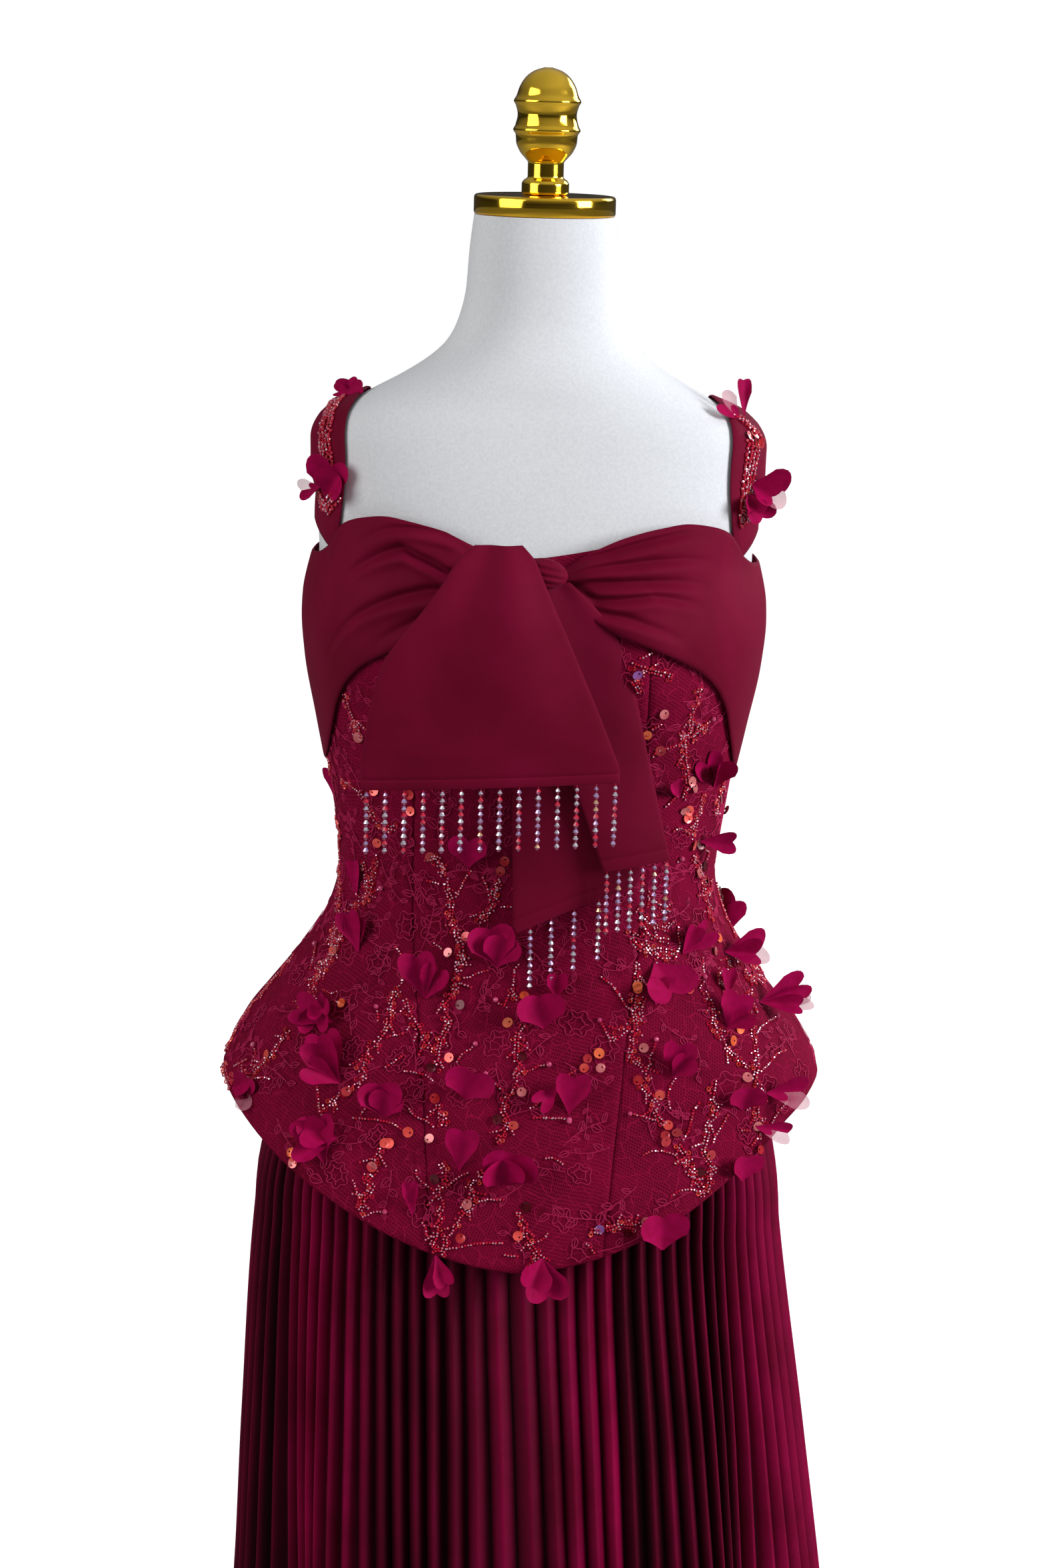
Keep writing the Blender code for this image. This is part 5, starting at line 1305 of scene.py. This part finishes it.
    "strapRows": (-0.12, -0.04, 0.04, 0.12), "strapShift": (0, 1.1, 0.2, 1.3), "strapSeed": 2.7 * mm,
    "strapLift": 4.2 * mm, "strapSequinLift": 5.0 * mm,
    "strapSequins": {"red": ((1, 47, -0.02), (1, 44, 0.12), (1, 41, -0.02), (1, 44, -0.16)),
                     "orange": ((1, 5, -0.15),)},
}
beadFinishes = ("redGlass", "silver", "coral", "red", "dark", "rose", "orange", "violet", "pearl")


# Places at even steps along a stem, with the direction in which it runs there
def alongStem(row):
    degrees, level = np.reshape(row, (-1, 2)).T
    degrees = np.clip(degrees, -beads["edge"], beads["edge"])
    ends = np.arange(len(degrees))
    fine = np.linspace(0, ends[-1], 12 * len(degrees))
    angle, z = np.interp(fine, ends, degrees) * degree, np.interp(fine, ends, level) * mm
    run = np.concatenate([[0], np.cumsum(np.linalg.norm(np.diff(bodicePoint(angle, z), axis=0), axis=1))])
    stops = np.arange(0.5 * beads["pitch"], run[-1], beads["pitch"])
    angle, z = np.interp(stops, run, angle), np.interp(stops, run, z)
    ahead = np.array([[0.0, 1.0]])
    if len(stops) > 1:
        ahead = np.stack([np.gradient(angle) * 0.16, np.gradient(z)], 1)
    return angle, z, unit(ahead[:len(stops)])


# The back repeats the front's beads, turned round and a little lower
def toBack(angle, z):
    return math.pi - angle * beads["backShare"], z - beads["backDrop"]


# Every bead of one half: seed beads, rings and pearls, each as (angle, z, across, up)
def beadPlaces(chance, back):
    seeds, rings, pearls = [], [], []
    rows = [(2, row) for row in beads["stems"]] + [(pearl, row) for pearl, *row in beads["twigs"]]
    for kind, row in rows:
        if back and chance.random() < beads["backChance"]:
            continue
        angle, z, ahead = alongStem(row)
        for a, level, (x, y) in zip(angle, z, ahead):

            def beside(gap, on=0.0):
                return a, level, -y * gap + x * on, x * gap + y * on

            if kind < 2:
                seeds.append((a, level, 0, 0))
                continue
            for side in (1, -1):
                if side > 0 or chance.random() > beads["gaps"]:
                    seeds.append(beside(side * beads["rowGap"] * chance.uniform(0.8, 1.25)))
            if chance.random() < beads["ringShare"]:
                rings.append(beside(chance.choice((-1, 1)) * chance.uniform(*beads["ringGap"]) * mm))
            if chance.random() < beads["sprigShare"]:
                side = chance.choice((-1, 1))
                for k in range(chance.integers(*beads["sprigBeads"])):
                    seeds.append(beside(side * (3.0 + 2.0 * k) * mm, (1.0 + 1.6 * k) * mm))
        if kind == 1:
            pearls.append((row[0] * degree, row[1] * mm, 0, 0))
    spots = []
    for found in (seeds, rings, pearls):
        angle, z, across, up = np.array(found).T
        if back:
            angle, z = toBack(angle, z)
        clear = insideEdges(angle, z, beads["margin"]) & (np.abs(angle - math.pi) > 3 * degree)
        spots.append(np.stack([angle, z, across, up])[:, clear])
    return spots


def tiltedBases(right, above, normal, chance, amount):
    swing = chance.uniform(-amount, amount, (2, len(normal), 1))
    top = unit(normal + right * swing[0] + above * swing[1])
    side = unit(np.cross(above, top))
    spin = chance.uniform(0, math.tau, (len(normal), 1))
    x = side * np.cos(spin) + np.cross(top, side) * np.sin(spin)
    return np.stack([x, np.cross(top, x), top], 1)


seedShape = stackedShape(6, ((0.46, -0.15), (0.52, 0.28), (0.30, 0.62)), (0, 0), 0, None)
ringShape = stackedShape(8, ((0.5, 0.0), (0.40, 0.26), (0.19, 0.06)), (None, None), closed=False)
pearlShape = stackedShape(8, ((0.2, -0.46), (0.44, -0.22), (0.5, 0.05), (0.35, 0.36), (0.12, 0.49)),
                          (None,) * 4)


# A flat sequin, sewn on by a hole near its edge
def sequinShape():
    points, faces, parts = stackedShape(16, ((0.5, 0.03), (0.10, 0.0)), (None,), closed=False)
    points[16:, 1] += 0.2
    return points, faces, parts


def buildBeads():
    sequin = sequinShape()
    for name, back in (("beadworkFront", False), ("beadworkBack", True)):
        chance = np.random.default_rng(21 + back)
        seeds, rings, pearls = beadPlaces(chance, back)
        groups = []
        for shape, spots, size, lift in ((seedShape, seeds, "seed", 0.45), (ringShape, rings, "ring", 0.4),
                                         (pearlShape, pearls, "pearl", 1.9)):
            points, right, above, normal = onBodice(*spots, lift * mm)[:4]
            count = len(points)
            if size == "seed":
                own = np.where(chance.random(count) < beads["bare"], 0, 1)
            else:
                own = chance.choice((0, 0, 2, 3), count) if size == "ring" else np.full(count, 8)
            groups.append(copies(shape, points, tiltedBases(right, above, normal, chance, beads["tilt"]),
                                 beads[size] * chance.uniform(0.9, 1.1, count), own))
        for colour, places in beads["sequins"].items():
            angle, z = np.reshape(places, (-1, 2)).T
            angle, z = angle * degree, z * mm
            if back:
                angle, z = toBack(angle, z)
                keep = (np.abs(angle - math.pi) > 5 * degree) & (z > peplumHem(angle) + 5 * mm)
                angle, z = angle[keep], z[keep]
            if len(angle):
                points, right, above, normal = onBodice(angle, z, 0, 0, beads["sequinLift"])[:4]
                bases = tiltedBases(right, above, normal, chance, beads["sequinTilt"])
                sizes = beads["sequin"] * chance.uniform(0.9, 1.08, len(points))
                groups.append(copies(sequin, points, bases, sizes, beadFinishes.index(colour)))
        if not back:
            groups += strapBeads(chance)
        joined(name, groups, beadFinishes, "lace", smooth=False)
        print("beads:", name, sum(len(group[1]) for group in groups), "faces")


def strapBeads(chance):
    groups = []
    rows = beads["strapRows"]
    for side, *row in beads["strapStems"]:
        turns, shares = np.reshape(row, (-1, 2)).T
        far, wide = np.abs(np.diff(turns)).sum() * 1.9 * mm, np.abs(np.diff(shares)).sum() * 9
        count = int(far / beads["strapSeed"] + wide)
        fine, ends = np.linspace(0, len(turns) - 1, count), np.arange(len(turns))
        turn = np.repeat(np.interp(fine, ends, turns), len(rows)) + np.tile(beads["strapShift"], count)
        share = np.repeat(np.interp(fine, ends, shares), len(rows)) + np.tile(rows, count)
        share += chance.uniform(-0.025, 0.025, len(share))
        points, ahead, _, normal = onStrap(turn, share, beads["strapLift"], side)
        bases = tiltedBases(np.cross(ahead, normal), ahead, normal, chance, beads["tilt"])
        own = np.where(chance.random(len(turn)) < beads["bare"], 0, 1)
        sizes = beads["strapSeed"] * chance.uniform(0.8, 1.1, len(turn))
        groups.append(copies(seedShape, points, bases, sizes, own))
    for colour, places in beads["strapSequins"].items():
        for side, turn, share in places:
            point, ahead, _, normal = onStrap([turn], [share], beads["strapSequinLift"], side)
            bases = tiltedBases(np.cross(ahead, normal), ahead, normal, chance, 0.3)
            groups.append(copies(sequinShape(), point, bases, beads["sequin"], beadFinishes.index(colour)))
    return groups


# The concealed zip between the back panels: a satin tape with its coil of teeth
zipper = {"half": 6.0 * mm, "depth": 0.25, "cloth": 0.6 * mm, "end": 0.3 * mm, "rows": 170, "columns": 7,
          "pitch": 1.6 * mm, "tooth": (1.5 * mm, 0.9 * mm, 0.7 * mm), "sideStep": 0.35, "behind": -1.3 * mm}


def buildZip():
    low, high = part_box("back_zip")
    levels = np.linspace(high.z - zipper["end"], low.z + zipper["end"], zipper["rows"])[:, None]
    shares = np.linspace(-1, 1, zipper["columns"])[None]
    turn = bodice["backTurn"] * shares * zipper["half"] / backReach(levels)
    points = bodicePoint(math.pi + turn, levels + 0 * turn, zipper["depth"])
    tape = clothPiece("backZip", points, "satin", "satin", "back_zip", thick=zipper["cloth"])
    long = flatSize(points)[1]
    z = np.arange(low.z + 2 * mm, high.z - 2 * mm, zipper["pitch"])
    beside = np.tile((zipper["sideStep"], -zipper["sideStep"]), len(z))[:len(z)] * mm
    spots, right, above, normal = onBodice(np.full(len(z), math.pi), z, beside, 0, zipper["behind"])[:4]
    box = stackedShape(4, ((0.7, -0.5), (0.7, 0.5)), (None,))
    bases = np.stack([right, above, normal], 1) * np.array(zipper["tooth"])[None, :, None]
    joined("zipTeeth", [copies(box, spots, bases, 1.0, 0)], ["redGlass"], "satin", smooth=False)
    print("back zip done:", len(z), "teeth")


view = {"place": (-0.0055, -2.70, 1.7195), "pitch": 12.0, "roll": 1.5, "lens": 79.84, "aim": (0, 0, 1.1)}
lamps = {
    "key": {"place": (3.2, -1.3, 2.3), "power": 150, "size": 1.6, "colour": (0.96, 0.97, 1.0)},
    "fill": {"place": (-3.0, -1.9, 2.5), "power": 84, "size": 2.8, "colour": (1.0, 0.98, 0.96)},
    "rim": {"place": (2.0, 2.0, 2.6), "power": 30, "size": 1.2, "colour": (0.97, 0.98, 1.0)},
}
room = {
    # how the surroundings brighten from the left to the right: from, to, darkest, brightest
    "sideways": (-0.7, 0.8, 0.55, 1.0), "strength": 0.62,
    # and from below to above: height and colour
    "upwards": ((0.0, (0.10, 0.10, 0.10)), (0.75, (0.90, 0.92, 0.95)), (0.12, (0.06, 0.06, 0.06)),
                (0.3, (0.42, 0.42, 0.42))),
    "floor": (0.36, 0.36, 0.36), "floorRadius": 14, "floorSides": 96,
}


def placed(name, data):
    made = bpy.data.objects.new(name, data)
    bpy.context.scene.collection.objects.link(made)
    return made


def buildLights():
    lens = bpy.data.cameras.new("photoView")
    lens.lens, lens.sensor_width, lens.sensor_fit = view["lens"], 36, "AUTO"
    lens.clip_start, lens.clip_end = 0.05, 60
    camera = placed("photoView", lens)
    pitched = Matrix.Rotation((90 - view["pitch"]) * degree, 4, "X")
    rolled = Matrix.Rotation(view["roll"] * degree, 4, "Z")
    camera.matrix_world = Matrix.Translation(view["place"]) @ (pitched @ rolled)
    bpy.context.scene.camera = camera
    for name, lamp in lamps.items():
        data = bpy.data.lights.new(name, "AREA")
        data.energy, data.size, data.color = lamp["power"], lamp["size"], lamp["colour"]
        made = placed(name, data)
        made.location = lamp["place"]
        made.rotation_euler = (Vector(view["aim"]) - made.location).to_track_quat("-Z", "Y").to_euler()


# A round floor that looks plain white
def buildFloor():
    sides, radius = room["floorSides"], room["floorRadius"]
    angles = np.linspace(0, math.tau, sides, endpoint=False)
    mesh = bpy.data.meshes.new("floor")
    corners = [(radius * math.cos(a), radius * math.sin(a), 0) for a in angles]
    mesh.from_pydata(corners, [], [list(range(sides))])
    pale = Finish("paleFloor",
                  {"Base Color": room["floor"], "Roughness": 0.9, "Emission Color": (1.0, 1.0, 1.0)})
    seen = pale.add("LightPath", {}, output=0)
    pale.feed(pale.shader.inputs["Emission Strength"], pale.maths("MULTIPLY", seen, 1.0))
    mesh.materials.append(pale.material)
    placed("floor", mesh)


# A soft room that lights the gown, with plain white where it is seen
def buildRoom():
    world = bpy.data.worlds.new("studio")
    bpy.context.scene.world = world
    world.use_nodes = True
    nodes, links = world.node_tree.nodes, world.node_tree.links
    kinds = ("TexCoord", "SeparateXYZ", "ValToRGB", "LightPath", "MixShader", "MapRange", "Math",
             "Background")
    made = [nodes.new("ShaderNode" + kind) for kind in kinds]
    place, split, ramps, path, mix, sideways, power, white = made
    soft, stops = nodes["Background"], ramps.color_ramp.elements
    for k, (position, colour) in enumerate(room["upwards"]):
        stop = stops[k] if k < 2 else stops.new(position)
        stop.position, stop.color = position, (*colour, 1)
    for socket, value in zip(("From Min", "From Max", "To Min", "To Max"), room["sideways"]):
        sideways.inputs[socket].default_value = value
    power.operation = "MULTIPLY"
    power.inputs[1].default_value = room["strength"]
    white.inputs[0].default_value = (1, 1, 1, 1)
    for output, socket in (
        (place.outputs["Generated"], split.inputs[0]), (split.outputs["Z"], ramps.inputs[0]),
        (split.outputs["X"], sideways.inputs["Value"]), (sideways.outputs[0], power.inputs[0]),
        (ramps.outputs[0], soft.inputs[0]), (power.outputs[0], soft.inputs[1]),
        (path.outputs["Is Camera Ray"], mix.inputs[0]), (soft.outputs[0], mix.inputs[1]),
        (white.outputs[0], mix.inputs[2]), (mix.outputs[0], nodes["World Output"].inputs[0]),
    ):
        links.new(output, socket)
    bpy.context.scene.view_settings.view_transform = "Standard"
    print("studio ready")


buildLights()
buildFloor()
buildRoom()
buildForm()
buildBodice()
buildKnot()
buildBand()
buildTails()
buildSkirt()
buildStraps()
buildPetals()
buildBeads()
buildZip()
